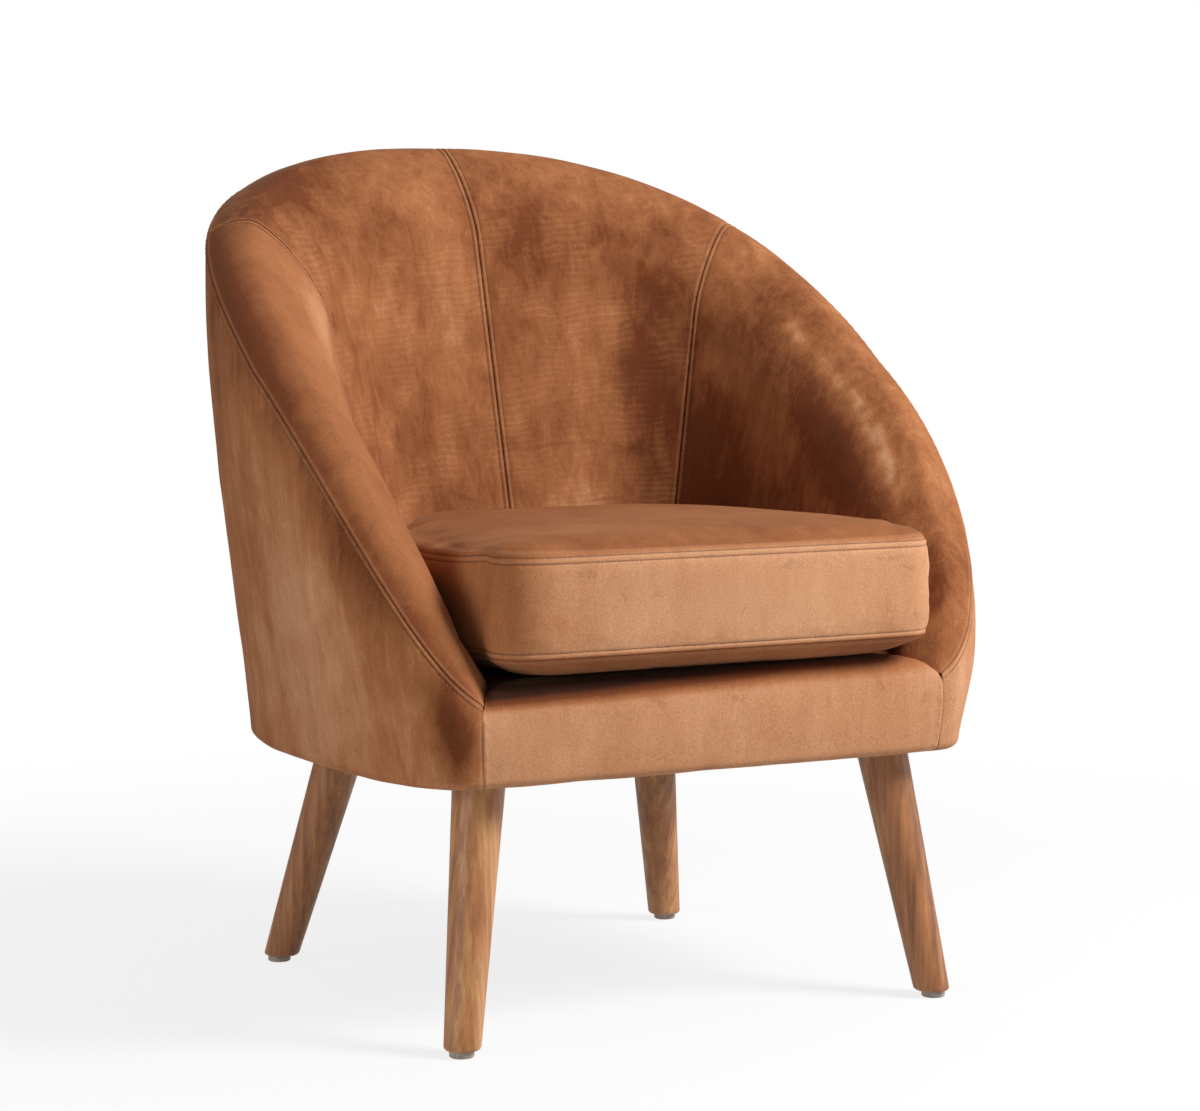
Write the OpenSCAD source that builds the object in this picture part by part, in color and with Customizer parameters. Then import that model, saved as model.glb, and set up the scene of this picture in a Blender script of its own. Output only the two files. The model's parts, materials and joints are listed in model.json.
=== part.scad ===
// Tub chair: a low upholstered tub on four splayed turned legs, with one loose boxed seat cushion.
// Millimetres, +Z up, the front faces -Y. The origin is on the floor below the middle of the chair.
// The tub is drawn as upright sections spread along the rim seam. In a section, u runs inwards from
// the rim seam and v is the height above the floor.

/* [Tub] */
// Width over the rim seam at its widest
rim_width = 680; // [600:5:760]
// Depth from the front rail's face to the rim seam at the back
body_depth = 594; // [540:2:660]
// Height of the rim seam at the back
back_rim_height = 790; // [720:5:880]
// Height of the rim seam where it meets the front corner seam
corner_rim_height = 308; // [300:1:330]
// Clear height under the tub
leg_clearance = 235; // [200:1:240]
// Width between the two front corner seams
corner_width = 477; // [450:1:500]
// Length of the tight bend beside each front corner seam
corner_run = 54; // [40:1:64]
// Wall thickness of an arm near its front
arm_front_thickness = 70; // [64:1:82]
// Wall thickness of an arm at its middle
arm_thickness = 78; // [70:1:90]
// Wall thickness of the back
back_thickness = 118; // [104:1:130]
// Rise of the crest above the rim seam
crest_rise = 13.6; // [8:0.2:20]
// Drop of the inside roll below the rim seam, at the arms
arm_roll_drop = 63; // [50:1:70]
// Drop of the inside roll below the rim seam, at the back
back_roll_drop = 79; // [64:1:92]
// Outward swell of the outside panels
outside_swell = 7.8; // [0:0.2:12]

/* [Covers] */
// Thickness of the velvet with its backing
cover_thickness = 2; // [1:0.1:2.6]
// Width of the gap left at a seam
seam_gap = 0.8; // [0.6:0.1:1]
// Width of the cover turned under the tub
tuck_width = 22; // [16:1:30]
// Radius of the tub's bottom edge
bottom_edge_radius = 9; // [5:0.5:12]
// Thickness of the black dust cover
dust_cover_thickness = 0.8; // [0.4:0.1:1]

/* [Padding] */
// Thickness of the wadding behind the outside panels
wadding_thickness = 3; // [2:0.1:4]
// Thickness of the foam at the foot of the inside walls
wall_foam_thickness = 24; // [18:0.5:28]
// Depth of padding over the top rails
crest_foam_depth = 10; // [8:0.5:14]
// Thickness of the foam on the front rail's face
rail_foam_thickness = 8; // [5:0.5:12]
// Thickness of the felt pad on the deck
deck_pad_thickness = 7.8; // [5:0.2:8]

/* [Frame] */
// Thickness of the plywood rings, posts and boards
ply_thickness = 18; // [14:0.5:20]
// Thickness of the hardboard liners
liner_thickness = 2.5; // [1.5:0.1:3]
// Width of the base ring's front bar
base_ring_width = 96; // [90:1:108]
// Width of the deck ring inside the walls
deck_ring_width = 44; // [36:1:56]
// Width of the top rails
top_rail_width = 36; // [28:1:40]
// Depth of the top rails
top_rail_depth = 22; // [16:0.5:26]
// Height of the deck ring's underside above the base ring's top
deck_ring_lift = 36.6; // [30:0.2:40]
// Width of a webbing strap
strap_width = 50; // [40:1:60]
// Thickness of a webbing strap
strap_thickness = 1.5; // [1:0.1:2]

/* [Front rail] */
// Height of the front rail's crest above the floor
rail_crest_height = 324; // [322:0.5:330]
// Depth of the front rail's padded top, front to back
rail_depth = 56; // [50:1:64]

/* [Legs] */
// Diameter of a leg at its top
leg_top_diameter = 47.5; // [40:0.5:54]
// Diameter of a leg at its foot
leg_foot_diameter = 32.6; // [26:0.2:38]
// Distance of a front leg's top behind the front rail's face
front_leg_setback = 60; // [50:1:80]
// Distance between the tops of the front legs
front_leg_spacing = 424; // [390:2:440]
// Outward reach of a front foot, sideways and forwards
front_leg_reach = 36.5; // [20:0.5:50]
// Distance of a back leg's top in front of the back rim
back_leg_setback = 175; // [160:1:190]
// Distance between the tops of the back legs
back_leg_spacing = 342; // [310:2:360]
// Outward reach of a back foot, sideways
back_leg_reach_x = 50; // [30:0.5:60]
// Outward reach of a back foot, backwards
back_leg_reach_y = 55; // [30:0.5:60]
// Side of a square mounting plate
plate_side = 66; // [60:1:68]
// Thickness of a mounting plate
plate_thickness = 2.6; // [2:0.1:3.2]
// Diameter of a leg's hanger bolt
bolt_diameter = 8; // [6:0.5:10]
// Diameter of a glide
glide_diameter = 22; // [18:0.5:26]
// Height of a glide
glide_height = 6; // [4:0.2:8]

/* [Seat cushion] */
// Height of the cushion's boxing between its two seams
boxing_height = 88; // [70:1:100]
// Height of the top panel's crown above its seam
top_crown = 20; // [10:0.5:28]
// Depth of the bottom panel's belly below its seam
bottom_belly = 22; // [14:0.5:26]
// Reach of the cushion in front of the front rail
cushion_overhang = 19; // [8:0.5:24]
// Width of the cushion across its front corners
cushion_width = 448; // [430:1:452]
// Radius of the cushion's front corners, in plan
cushion_corner_radius = 36; // [26:1:50]
// Room between the cushion's sides and the inside walls
cushion_side_gap = 4.5; // [4:0.5:8]
// Room between the cushion's back and the inside back
cushion_back_gap = 8.5; // [8:0.5:12]
// Outward swell of the boxing between its seams
boxing_swell = 2.4; // [0:0.2:3]
// Height of the zip's tape
zip_height = 24; // [16:1:30]
// Half the length of the zip
zip_half_length = 100; // [80:1:104]

/* [Hidden] */
$fn = 48;

// Colours of the finishes
velvet = [0.66, 0.38, 0.22];
oak = [0.47, 0.30, 0.19];
plywood = [0.80, 0.66, 0.46];
hardboard = [0.45, 0.33, 0.22];
foam_yellow = [0.93, 0.87, 0.66];
felt_grey = [0.62, 0.62, 0.60];
webbing_tan = [0.72, 0.62, 0.45];
black_cloth = [0.10, 0.10, 0.10];
steel = [0.65, 0.66, 0.68];
glide_grey = [0.62, 0.57, 0.52];

// Clearance between two layers, and the overrun of a cut
layer_gap = 0.3;
overrun = 1;

// Places that follow from the sizes above
cushion_front_y = -(body_depth + cushion_overhang + boxing_swell) / 2 + boxing_swell;
front_y = cushion_front_y + cushion_overhang;
back_y = front_y + body_depth;
rim_x = rim_width / 2;
corner_x = corner_width / 2;
tub_bottom = leg_clearance;
ring_bottom = tub_bottom + cover_thickness + layer_gap;
ring_top = ring_bottom + ply_thickness;
deck_bottom = ring_top + deck_ring_lift;
deck_top = deck_bottom + ply_thickness;
wall_foot = deck_top + layer_gap;
pad_bottom = wall_foot + 2 * strap_thickness + 2 * layer_gap;
deck_surface = pad_bottom + deck_pad_thickness + layer_gap + cover_thickness;

// Where the rim is widest, as a share of the depth, and how its two curves bend
widest_share = 0.43;
side_bend_share = 0.734;
back_bend_share = 0.44;
rear_corner_share = 0.877;
widest_y = front_y + widest_share * body_depth;
side_curve = [
    [corner_x, front_y],
    [corner_x + corner_run, front_y],
    [rim_x, widest_y - side_bend_share * (widest_y - front_y)],
    [rim_x, widest_y]
];
back_curve = [
    [rim_x, widest_y],
    [rim_x, widest_y + back_bend_share * (back_y - widest_y)],
    [rear_corner_share * rim_x, back_y],
    [0, back_y]
];

// Rise of the rim seam from the front corner to the back, as shares of its whole rise
rim_rise_shares = [0, 0.054, 0.141, 0.416, 0.622, 0.780, 0.906, 1, 1];
// Heading of the sections, in degrees from the sideways direction
section_headings = [-52, 0, 0, 0, 11.7, 56, 90];
// Slopes of the outside and the inside faces, in mm per mm of height
outside_slope_shares = [0.039, 0.214, 0.055, 0.055];
inside_slope_shares = [0.105, 0.127, 0.255, 0.255];
// Share of the run over which the arm swells from its tip
tip_share = 0.075;
tip_thickness = 3 * cover_thickness;
// Shape of the rolled top: where the crest lies and how its curves bend
crest_share = 0.344;
crest_start_share = 0.114;
crest_end_share = 0.153;
crest_lift_share = 0.61;
roll_start_share = 0.24;
roll_end_share = 0.38;

// Sections on each side of the middle of the back, and the ones where pieces change
stations = 28;
back_seam_station = 8;
frame_station = 24;
tip_station = 27;

function bezier(points, t) = len(points) == 1
    ? points[0]
    : bezier([for (i = [0:len(points) - 2]) points[i] * (1 - t) + points[i + 1] * t], t);
function swell(q) = 1 - exp(-q / tip_share);
function rim_point(q) = q < 0.5 ? bezier(side_curve, 2 * q) : bezier(back_curve, 2 * q - 1);
function rim_height(q) = corner_rim_height
    + (back_rim_height - corner_rim_height) * bezier(rim_rise_shares, q);
function wall(q) = tip_thickness
    + swell(q) * bezier([arm_front_thickness, arm_thickness, back_thickness, back_thickness], q);
function crest(q) = swell(q) * crest_rise;
function roll_foot(q) = max(
    rim_height(q) - swell(q) * bezier([arm_roll_drop, arm_roll_drop, back_roll_drop, back_roll_drop], q),
    wall_foot + bottom_edge_radius
);
function inner_u(q, v) = wall(q) + bezier(inside_slope_shares, q) * (roll_foot(q) - v);
function outer_share(q, v) = (v - tub_bottom) / (rim_height(q) - tub_bottom);
function swell_shape(w) = 27 / 4 * w * w * (1 - w);
function outer_u(q, v) = bezier(outside_slope_shares, q) * (rim_height(q) - v)
    - outside_swell * swell_shape(outer_share(q, v));

// Points of one whole section, from the tuck under the tub, over the rim and down the inside
outside_steps = [0.2, 0.42, 0.64, 0.84, 0.96];
crest_steps = [0.3, 0.65, 1];
roll_steps = [0.22, 0.45, 0.7, 1];
inside_steps = [0.4, 0.75, 1];
outside_first = 0;
outside_last = 9;
inside_first = 10;
inside_last = 20;
function section(q) = let (
    z = rim_height(q),
    v0 = tub_bottom + bottom_edge_radius,
    u0 = outer_u(q, v0),
    r = bottom_edge_radius,
    bend_share = 0.29,
    run_up = z - v0,
    t = wall(q),
    c = crest(q),
    foot = roll_foot(q),
    slope = bezier(inside_slope_shares, q),
    pull = roll_end_share * (z + c - foot),
    half_gap = seam_gap / 2,
    up = [[0, z], [crest_start_share * t, z + crest_lift_share * c],
        [(crest_share - crest_end_share) * t, z + c], [crest_share * t, z + c]],
    down = [[crest_share * t, z + c], [(crest_share + roll_start_share * (1 - crest_share)) * t, z + c],
        [t - slope * pull, foot + pull], [t, foot]]
) concat(
    [[u0 + tuck_width, tub_bottom], [u0 + r, tub_bottom], [u0 + bend_share * r, tub_bottom + bend_share * r],
        [u0, v0]],
    [for (w = outside_steps) [outer_u(q, v0 + w * run_up), v0 + w * run_up]],
    [[outer_u(q, z - half_gap), z - half_gap], [half_gap / 2, z + half_gap / 2]],
    [for (w = crest_steps) bezier(up, w)],
    [for (w = roll_steps) bezier(down, w)],
    [for (w = inside_steps) let (v = foot + w * (wall_foot - foot)) [inner_u(q, v), v]]
);
// A line moved to its inner side by d. The two points beside a seam move the same way, and the last
// point keeps its height
function inset(line, d, seam = -2) = [for (i = [0:len(line) - 1]) let (
    last = len(line) - 1,
    at_seam = i == seam || i == seam + 1,
    a = at_seam ? line[seam - 1] : line[max(i - 1, 0)],
    b = at_seam ? line[seam + 2] : line[min(i + 1, last)],
    along = (b - a) / norm(b - a)
) line[i] + (i == last ? [d / along.y, 0] : d * [along.y, -along.x])];
function skin_inset(q, d) = inset(section(q), d, outside_last);
function part_of(line, first, last) = [for (i = [first:last]) line[i]];
function reversed(line) = [for (i = [len(line) - 1:-1:0]) line[i]];
function layer(q, first, last, near, far) = concat(
    part_of(skin_inset(q, near), first, last),
    reversed(part_of(skin_inset(q, far), first, last))
);

// Place of a section's points in space. Stations run from the left corner over the back to the right
function run_share(k) = 1 - abs(k) / stations;
function placed(k, outline) = let (
    q = run_share(k),
    heading = bezier(section_headings, q),
    at = rim_point(q),
    hand = k < 0 ? -1 : 1
) [for (p = outline) [hand * (at.x - p.x * cos(heading)), at.y - p.x * sin(heading), p.y]];
function blended(a, b, t) = [for (i = [0:len(a) - 1]) a[i] * (1 - t) + b[i] * t];
function centre_of(ring) = [for (j = [0:2]) [for (p = ring) 1] * [for (p = ring) p[j]]] / len(ring);

// A closed solid through a row of rings of equal length. Each of its quads is halved from its lower
// front corner to its upper back corner, so neighbouring layers stay parallel. Its ends are closed by
// a zigzag between the ring's two halves, or by a fan from the middle
function zigzag(n) = concat(
    [for (i = [0:ceil(n / 2) - 2]) [i, i + 1, n - 1 - i]],
    [for (i = [0:floor(n / 2) - 2]) [i + 1, n - 2 - i, n - 1 - i]]
);
function fan(n, hub) = [for (i = [0:n - 1]) [i, (i + 1) % n, hub]];
function shifted(faces, by) = [for (f = faces) [for (i = f) i + by]];
level_tolerance = 0.01;
module loft(rings, flip = false, fans = false) {
    n = len(rings[0]);
    m = len(rings);
    last = (m - 1) * n;
    low_end = fans ? fan(n, m * n) : zigzag(n);
    high_end = fans ? shifted(fan(n, m * n + 1 - last), last) : shifted(zigzag(n), last);
    faces = concat(
        [for (j = [0:m - 2]) for (i = [0:n - 1]) let (
            next = (i + 1) % n,
            a = j * n + i,
            b = j * n + next,
            c = a + n,
            d = b + n,
            from = rings[j][i],
            to = rings[j][next],
            level = abs(to.z - from.z) < level_tolerance,
            rises = level ? norm([to.x, to.y]) < norm([from.x, from.y]) : to.z > from.z,
            backwards = rings[j + 1][0].y >= rings[j][0].y
        ) each (rises == backwards ? [[a, c, d], [a, d, b]] : [[a, c, b], [b, c, d]])],
        low_end,
        [for (f = high_end) reversed(f)]
    );
    polyhedron(
        points = concat([for (r = rings) each r], fans ? [centre_of(rings[0]), centre_of(rings[m - 1])] : []),
        faces = flip ? [for (f = faces) reversed(f)] : faces);
}

// Loft between two stations, each end moved by a share of a step towards the middle of the piece
module run_loft(first, last, outlines, trim_first = 0, trim_last = 0) {
    rings = [for (k = [first:last]) placed(k, outlines[k - first])];
    m = len(rings);
    loft([for (j = [0:m - 1])
        j == 0 ? blended(rings[0], rings[1], trim_first)
            : j == m - 1 ? blended(rings[m - 1], rings[m - 2], trim_last) : rings[j]]);
}
seam_trim_share = 0.008;

module skin_panel(first, last, from, to, trim_first = seam_trim_share, trim_last = seam_trim_share) {
    run_loft(first, last,
        [for (k = [first:last]) layer(run_share(k), from, to, 0, cover_thickness)],
        trim_first, trim_last);
}

// Outside panels
module outside_arm_right() color(velvet)
    skin_panel(back_seam_station, stations, outside_first, outside_last);
module outside_arm_left() color(velvet)
    skin_panel(-stations, -back_seam_station, outside_first, outside_last);
module outside_back() color(velvet)
    skin_panel(-back_seam_station, back_seam_station, outside_first, outside_last);

// Inside panels, which roll over the top to the rim seam
module inside_arm_right() color(velvet)
    skin_panel(back_seam_station, stations, inside_first, inside_last);
module inside_arm_left() color(velvet)
    skin_panel(-stations, -back_seam_station, inside_first, inside_last);
module inside_back_right() color(velvet)
    skin_panel(0, back_seam_station, inside_first, inside_last);
module inside_back_left() color(velvet)
    skin_panel(-back_seam_station, 0, inside_first, inside_last);

// Layers behind the outside panels
frame_play = 1.2;
wadding_near = cover_thickness + layer_gap;
wadding_far = wadding_near + wadding_thickness;
liner_near = wadding_far + layer_gap;
liner_far = liner_near + liner_thickness;
frame_inset = liner_far + frame_play;
// Heights of a band's rows: those of the outside panels, held below the top rail's top
function band_rows(q) = let (
    low = tub_bottom + bottom_edge_radius,
    high = rail_top(q)
) concat([low], [for (w = outside_steps) min(low + w * (rim_height(q) - low), high - overrun)], [high]);
function band(q, near, far) = concat(
    [for (v = band_rows(q)) [outer_u(q, v) + near, v]],
    [for (v = reversed(band_rows(q))) [outer_u(q, v) + far, v]]
);
function rail_top(q) = rim_height(q) - crest_foam_depth;
function rail_bottom(q) = rail_top(q) - top_rail_depth;
module outside_wadding() color(felt_grey)
    run_loft(-frame_station, frame_station, [for (k = [-frame_station:frame_station])
        band(run_share(k), wadding_near, wadding_far)]);
module outer_liner() color(hardboard)
    run_loft(-frame_station, frame_station, [for (k = [-frame_station:frame_station])
        band(run_share(k), liner_near, liner_far)]);

// Top rails, and the inner liner that runs from them down to the base ring
function rail_width_at(q) = min(top_rail_width, wall(q) - wall_foam_thickness - cover_thickness);
function rail_section(q) = let (
    low = rail_bottom(q),
    high = rail_top(q),
    w = rail_width_at(q)
) [
    [outer_u(q, low) + frame_inset, low], [outer_u(q, high) + frame_inset, high],
    [outer_u(q, high) + frame_inset + w, high], [outer_u(q, low) + frame_inset + w, low]
];
function foam_back_u(q) = inner_u(q, wall_foot) - cover_thickness - layer_gap - wall_foam_thickness;
function liner_line(q, shift) = let (
    low = rail_bottom(q),
    top_u = outer_u(q, low) + frame_inset + rail_width_at(q)
) [[foam_back_u(q) - shift, wall_foot], [top_u - shift, low - 2 * layer_gap]];
module inner_liner() color(hardboard)
    run_loft(-frame_station, frame_station, [for (k = [-frame_station:frame_station])
        let (q = run_share(k)) concat(
            liner_line(q, layer_gap + liner_thickness), reversed(liner_line(q, layer_gap)))]);

rail_joint_station = 9;
module rail_run(first, last) run_loft(first, last,
    [for (k = [first:last]) rail_section(run_share(k))], seam_trim_share, seam_trim_share);
module arm_rail_right() color(plywood) rail_run(rail_joint_station, frame_station);
module arm_rail_left() color(plywood) rail_run(-frame_station, -rail_joint_station);
module back_top_rail() color(plywood) rail_run(-rail_joint_station, rail_joint_station);

// Posts between the base ring and the top rails, one ply thick along the run
post_stations = [23, 19, 15, 11, 3];
post_rise_shares = [0, 0.25, 0.5, 0.75, 1];
deck_notch = 15;
function post_section(q) = let (
    low = ring_top + layer_gap,
    high = rail_bottom(q) - frame_play,
    line = liner_line(q, liner_thickness + frame_play + 2 * layer_gap)
) [
    for (s = post_rise_shares) let (v = low + s * (high - low)) [outer_u(q, v) + frame_inset, v],
    [line[1].x, high], line[0], line[0] - [deck_notch, 0], [line[0].x - deck_notch, low]
];
module post(k) {
    step = k > 0 ? -1 : 1;
    here = placed(k, post_section(run_share(k)));
    before = placed(k - 1, post_section(run_share(k - 1)));
    after = placed(k + 1, post_section(run_share(k + 1)));
    half = ply_thickness / 2;
    loft([
        blended(here, before, half / norm(centre_of(before) - centre_of(here))),
        here,
        blended(here, after, half / norm(centre_of(after) - centre_of(here)))
    ]);
}
module arm_posts_right() color(plywood) for (i = [0:2]) post(post_stations[i]);
module arm_posts_left() color(plywood) for (i = [0:2]) post(-post_stations[i]);
module back_posts() color(plywood) {
    for (i = [3:4], hand = [-1, 1]) post(hand * post_stations[i]);
    post(0);
}

// Foam on the inside walls and over the rails
function foam_section(q) = let (
    depth = cover_thickness + layer_gap,
    skin_line = part_of(skin_inset(q, depth), inside_first, inside_last),
    rail = rail_section(q),
    line = liner_line(q, 0)
) concat([skin_line[0] + [overrun, 0]], part_of(skin_line, 1, len(skin_line) - 1), [
    line[0], rail[3] + [layer_gap, 0], rail[2] + [layer_gap, layer_gap], rail[1] + [0, layer_gap]
]);
module foam_run(first, last) run_loft(first, last,
    [for (k = [first:last]) foam_section(run_share(k))], seam_trim_share, seam_trim_share);
module arm_foam_right() color(foam_yellow) foam_run(back_seam_station, frame_station);
module arm_foam_left() color(foam_yellow) foam_run(-frame_station, -back_seam_station);
module back_foam() color(foam_yellow) foam_run(-back_seam_station, back_seam_station);

// Foam wedge in each arm's front tip
module arm_tip_foam() color(foam_yellow) for (hand = [-1, 1]) {
    first = hand > 0 ? frame_station : -tip_station;
    last = hand > 0 ? tip_station : -frame_station;
    run_loft(first, last, [for (k = [first:last]) let (
        line = skin_inset(run_share(k), cover_thickness + 3 * layer_gap)
    ) concat([line[outside_last - 1]], part_of(line, inside_first, inside_last))],
        hand > 0 ? 0.02 : 0, hand > 0 ? 0 : 0.02);
}

// Plan of a flat ring or panel: the wall's line at height v, moved in by d, behind a straight front at
// low_y with its corners cut
corner_cut = 4;
function mirrored(line) = [for (p = reversed(line)) [-p.x, p.y]];
function plan_line(first, v, d, low_y, on_inside = false) = let (
    line = [for (k = [first:-1:0]) let (
        q = run_share(k),
        p = placed(k, [[(on_inside ? inner_u(q, v) : outer_u(q, v)) + d, v]])[0]
    ) [p.x, p.y]],
    front_x = lookup(low_y, [for (p = line) [p.y, p.x]]),
    right = concat([[front_x - corner_cut, low_y]], [for (p = line) if (p.y > low_y + overrun) p])
) concat(right, part_of(mirrored(right), 1, len(right) - 1));
ring_front_y = front_y + cover_thickness + 2 * layer_gap + rail_foam_thickness;
board_back_y = ring_front_y + ply_thickness;

// Leg places: the middle of a leg's top and the way to its foot
front_leg_y = front_y + front_leg_setback;
back_leg_y = back_y - back_leg_setback;
leg_hands = [[-1, -1], [1, -1], [-1, 1], [1, 1]];
function leg_top(h) = h.y < 0
    ? [h.x * front_leg_spacing / 2, front_leg_y, tub_bottom]
    : [h.x * back_leg_spacing / 2, back_leg_y, tub_bottom];
function leg_reach(h) = h.y < 0
    ? [h.x * front_leg_reach, -front_leg_reach, -tub_bottom]
    : [h.x * back_leg_reach_x, back_leg_reach_y, -tub_bottom];
function leg_foot(h) = leg_top(h) + leg_reach(h);
plate_top = tub_bottom + cover_thickness - dust_cover_thickness - layer_gap;
plate_bottom = plate_top - plate_thickness;
screw_inset = 8;
screw_diameter = 4;
screw_head_diameter = 8;
screw_head_height = 2;
screw_grip = 12;
bolt_grip = 38;
bolt_rise = 30;
hole_play = 0.1;

module along_leg(h) {
    way = leg_reach(h);
    translate(leg_top(h))
        rotate([0, 0, atan2(way.y, way.x)])
            rotate([0, 180 - atan2(norm([way.x, way.y]), -way.z), 0])
                children();
}
module bolt_hole(h, play) along_leg(h)
    translate([0, 0, -bolt_rise - ply_thickness])
        cylinder(d = bolt_diameter + 2 * play, h = bolt_grip + bolt_rise + ply_thickness + overrun);
module leg(h) color(oak) difference() {
    length = norm(leg_reach(h));
    intersection() {
        along_leg(h) translate([0, 0, -leg_top_diameter])
            cylinder(
                d1 = leg_top_diameter + (leg_top_diameter - leg_foot_diameter) * leg_top_diameter / length,
                d2 = leg_foot_diameter - (leg_top_diameter - leg_foot_diameter) * leg_top_diameter / length,
                h = length + 2 * leg_top_diameter, $fn = 64);
        translate(leg_foot(h) + [-rim_width / 2, -rim_width / 2, glide_height])
            cube([rim_width, rim_width, plate_bottom - glide_height]);
    }
    bolt_hole(h, hole_play);
    translate(leg_foot(h))
        cylinder(d = nail_diameter + 2 * hole_play, h = glide_height + nail_length + overrun);
}
module leg_front_left() leg(leg_hands[0]);
module leg_front_right() leg(leg_hands[1]);
module leg_back_left() leg(leg_hands[2]);
module leg_back_right() leg(leg_hands[3]);

// Glides: a disc with a softened rim and a nail
nail_diameter = 3;
nail_length = 16;
glide_edge = 1;
module glide(h) color(glide_grey) translate(leg_foot(h)) {
    rotate_extrude() polygon([
        [0, 0], [glide_diameter / 2 - glide_edge, 0], [glide_diameter / 2, glide_edge],
        [glide_diameter / 2, glide_height - layer_gap], [nail_diameter / 2, glide_height - layer_gap],
        [nail_diameter / 2, glide_height + nail_length], [0, glide_height + nail_length]
    ]);
}
module glide_front_left() glide(leg_hands[0]);
module glide_front_right() glide(leg_hands[1]);
module glide_back_left() glide(leg_hands[2]);
module glide_back_right() glide(leg_hands[3]);

// Mounting plates, their screws and the hanger bolts
module at_screws(h) for (x = [-1, 1], y = [-1, 1])
    translate([leg_top(h).x + x * (plate_side / 2 - screw_inset),
        leg_top(h).y + y * (plate_side / 2 - screw_inset), 0]) children();
module screw_holes(h, play) at_screws(h) translate([0, 0, plate_bottom - overrun])
    cylinder(d = screw_diameter + 2 * play, h = screw_grip + plate_thickness + overrun);
module leg_plates() color(steel) for (h = leg_hands) difference() {
    translate([leg_top(h).x - plate_side / 2, leg_top(h).y - plate_side / 2, plate_bottom])
        cube([plate_side, plate_side, plate_thickness]);
    bolt_hole(h, hole_play);
    screw_holes(h, hole_play);
}
module plate_screws() color(steel) for (h = leg_hands) at_screws(h) {
    translate([0, 0, plate_bottom - screw_head_height])
        cylinder(d = screw_head_diameter, h = screw_head_height);
    translate([0, 0, plate_bottom])
        cylinder(d = screw_diameter, h = screw_grip - overrun);
}
module leg_bolts() color(steel) for (h = leg_hands) along_leg(h)
    translate([0, 0, -bolt_rise]) cylinder(d = bolt_diameter, h = bolt_grip + bolt_rise);

// Flat plywood rings of the base and the deck
module plate(low, outline, opening) difference() {
    translate([0, 0, low]) linear_extrude(ply_thickness) polygon(outline);
    translate([0, 0, low - overrun]) linear_extrude(ply_thickness + 2 * overrun) polygon(opening);
}
module base_ring() color(plywood) difference() {
    plate(ring_bottom, plan_line(ring_station, ring_bottom, frame_inset, ring_front_y),
        plan_line(deck_station, wall_foot, base_ring_reach, ring_front_y + base_ring_width, true));
    for (h = leg_hands) {
        bolt_hole(h, layer_gap);
        screw_holes(h, hole_play);
    }
}
ring_station = 26;
base_ring_reach = 20;
deck_station = 24;
deck_inset = frame_play - cover_thickness - wall_foam_thickness - liner_thickness - deck_notch;
deck_ring_full = deck_ring_width - deck_inset;
module deck_ring() color(plywood) plate(deck_bottom,
    plan_line(deck_station, deck_bottom, deck_inset, board_back_y + layer_gap, true),
    plan_line(deck_station, deck_bottom, deck_ring_width, board_back_y + layer_gap + deck_ring_full, true));

// Hardwood blocks between the rings: one over each leg and three at the sides and the back
block_side = 58;
block_height = deck_bottom - ring_top - 2 * layer_gap;
block_inset = 90;
module block(x, y, turn) translate([x, y, ring_top + layer_gap]) rotate([0, 0, turn])
    translate([-block_side / 2, -block_side / 4, 0]) cube([block_side, block_side / 2, block_height]);
module corner_blocks() color(oak) difference() {
    for (h = leg_hands) translate([leg_top(h).x - block_side / 2, leg_top(h).y - block_side / 2,
        ring_top + layer_gap]) cube([block_side, block_side, block_height]);
    for (h = leg_hands) bolt_hole(h, layer_gap);
}
module deck_blocks() color(oak) {
    for (hand = [-1, 1])
        block(hand * (rim_x - outer_u(0.5, ring_top) - block_inset), widest_y, 90);
    block(0, back_y - foam_back_u(1) - block_side / 4, 0);
}

// Front rail: a board on the base ring, padded and covered
board_top = rail_crest_height - rail_foam_thickness - cover_thickness;
rail_board_inset = 39;
board_half = corner_x - rail_board_inset;
module front_rail_board() color(plywood)
    translate([-board_half, ring_front_y, ring_top + layer_gap])
        cube([2 * board_half, ply_thickness, board_top - ring_top - layer_gap]);

rail_pinch = 26;
rail_pinch_run = 12;
rail_corner_gap = 0.8;
rail_shoulder = 300;
rail_corner_share = 0.4;
function rail_half(y) = corner_x - rail_corner_gap
    - rail_pinch * (1 - exp(-max(y - front_y, 0) / rail_pinch_run));
rail_line = let (r = bottom_edge_radius, top = rail_crest_height, d = rail_depth, s = rail_shoulder) [
    [front_y + tuck_width, tub_bottom], [front_y + r, tub_bottom], [front_y, tub_bottom + r],
    [front_y, s], [front_y + 0.05 * d, s + 0.55 * (top - s)],
    [front_y + 0.18 * d, s + 0.88 * (top - s)], [front_y + 0.4 * d, top], [front_y + 0.75 * d, top],
    [front_y + 0.93 * d, top - 0.15 * (top - s)], [front_y + d, top - 0.4 * (top - s)],
    [front_y + d, wall_foot]
];
rail_cross_shares = [-1, -0.97, -0.9, -0.75, -0.4, 0, 0.4, 0.75, 0.9, 0.97, 1];
function rail_drop(s) = 1 - (1 - rail_corner_share) * pow(abs(s), 12);
function rail_ring(s, outline) = [for (p = outline) let (
    base = p.x > front_y + rail_depth / 2 ? wall_foot : rail_shoulder
) [s * rail_half(p.x), p.x, p.y > base ? base + (p.y - base) * rail_drop(s) : p.y]];
module front_rail_cover() color(velvet)
    loft([for (s = rail_cross_shares)
        rail_ring(s, concat(rail_line, reversed(inset(rail_line, cover_thickness))))]);
rail_foam_cross_shares = [-0.9, -0.75, -0.4, 0, 0.4, 0.75, 0.9];
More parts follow.
